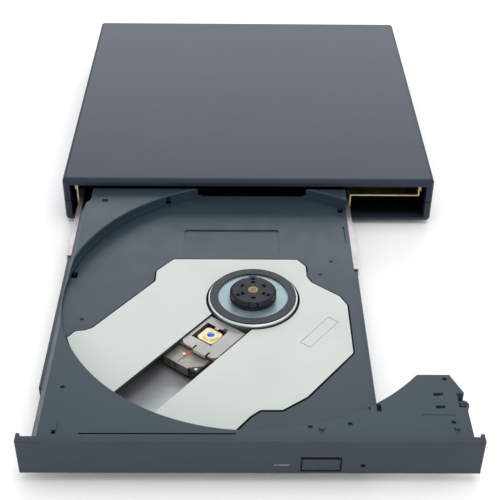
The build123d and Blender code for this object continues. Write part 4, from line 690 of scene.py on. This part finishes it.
# Pale strips on the top cover's edges, each side and on the tab between its notches: a painted highlight
# where the edges catch the light
HIGHLIGHT_WIDTH = 0.14
HIGHLIGHT_HEIGHT = 0.66
TAB_REACH = 0.64
TAB_HEIGHT = 1.1
highlight_z = cover_top - HIGHLIGHT_HEIGHT / 2 * MM
tab_z = cover_top - 0.6 * MM
left_highlight = corner_points(COVER_SIDES[0], -90, 0, highlight_z)
left_highlight.append(on_path(COVER_END, NOTCHES[0] - NOTCH_HALF, highlight_z))
right_highlight = corner_points(COVER_SIDES[1], 0, 90, highlight_z)
right_highlight.insert(0, on_path(COVER_END, NOTCHES[1] + NOTCH_HALF, highlight_z))
tab_sides = (NOTCHES[0] + NOTCH_HALF, NOTCHES[1] - NOTCH_HALF)
tab_highlight = [on_path(COVER_END + TAB_REACH, v, tab_z) for v in tab_sides]
ribbon("cover_highlight_left", left_highlight, HIGHLIGHT_WIDTH, HIGHLIGHT_HEIGHT, highlight_and_screw_look, "sled_body")
ribbon("cover_highlight_right", right_highlight, HIGHLIGHT_WIDTH, HIGHLIGHT_HEIGHT, highlight_and_screw_look, "sled_body")
ribbon("cover_highlight_tab", tab_highlight, HIGHLIGHT_WIDTH, TAB_HEIGHT, highlight_and_screw_look, "sled_body")

# Dark seam on the lower cover
SEAM_PATH = ((33.4, -1.2), (34.6, -1.3), (36.1, -1.25))
SEAM_WIDTH = 0.16
SEAM_THICKNESS = 0.06
seam_points = [on_path(u, v, front_top + SEAM_THICKNESS / 2 * MM) for u, v in SEAM_PATH]
ribbon("cover_seam", seam_points, SEAM_WIDTH, SEAM_THICKNESS, black_look, "sled_body")

# The sled's dark corner with its screw
CORNER_PAD = [(36.0, 3.38), (36.0, 6.38), (32.8, 6.38)]
CORNER_FACE = [(36.0, 3.38), (36.16, 3.38), (36.16, 6.38), (36.0, 6.38)]
CORNER_DROP = 2.6 * MM
SCREW_PLACE = (35.1, 5.35)
SCREW_HEAD = [(0.06, 0.05), (0.15, 0.14), (0.35, 0.17), (0.5, 0.1), (0.52, -0.02), (0.06, -0.02)]
plate("sled_corner_pad", CORNER_PAD, body_top, front_top - 0.02 * MM, black_look)
plate("sled_corner_face", CORNER_FACE, body_top - CORNER_DROP, front_top - 0.05 * MM, black_look)
lathe("sled_corner_screw", SCREW_HEAD, on_path(*SCREW_PLACE, front_top), highlight_and_screw_look, "sled_body",
      steps=32)

# A tab at the edge of the cover's window, and a thin black plate laid on the cover as painted shade for a
# dark notch beside it
WINDOW_TAB = [(17.5, -1.1), (18.55, -0.95), (18.55, 0.35), (17.5, 0.5)]
WINDOW_NOTCH_SHADE = [(16.5, 1.5), (17.75, 1.5), (17.75, 3.0), (16.5, 3.0)]
plate("window_tab", WINDOW_TAB, cover_top - 0.28 * MM, cover_top, cover_look)
plate("window_notch_shade", WINDOW_NOTCH_SHADE, cover_top, cover_top + 0.12 * MM, black_look)

# Lens suspension: two wires on each side, from the holder towards the hub
WIRE_PATH = ((-2.0, 3.5), (-3.4, 3.6), (-4.3, 3.6))
WIRE_RADIUS = 0.05
for side, side_name in ((-1, "left"), (1, "right")):
    for level in (1.1, 1.8):
        z = holder_top - level * MM
        wire_points = [on_path(LENS_FROM_HUB + u, side * v, z) for u, v in WIRE_PATH]
        wire_name = f"lens_wire_{side_name}_{int(level * 10)}"
        wire(wire_name, wire_points, WIRE_RADIUS, copper_look, "lens_body")

# The studio and the camera
floor()
STRIP = (0.5, 0.3)
WHITE = (1, 1, 1)
for light in (
    ("key", (0.05, 1.0, 0.55), (0, 0.0, 0), (1.1, 0.5), 7.0, (0.93, 0.97, 1.0)),
    ("top", (0.1, -0.15, 1.1), (0, -0.1, 0), (1.0, 1.0), 6.6, WHITE),
    ("right", (0.9, 0.1, 0.3), (0.06, 0, 0), STRIP, 1.2, WHITE),
    ("front", (0.0, -0.62, 0.14), (0, -0.2, 0), (0.4, 0.12), 0.85, WHITE),
    ("left", (-0.9, 0.0, 0.4), (-0.06, 0, 0), STRIP, 0.9, WHITE),
):
    softbox(*light)

world = bpy.data.worlds.new("studio")
world.use_nodes = True
background = world.node_tree.nodes["Background"]
background.inputs[0].default_value = (*WHITE, 1)
background.inputs[1].default_value = 0.5
scene = bpy.context.scene
scene.world = world
scene.view_settings.view_transform = "Standard"
scene.view_settings.look = "None"
camera()
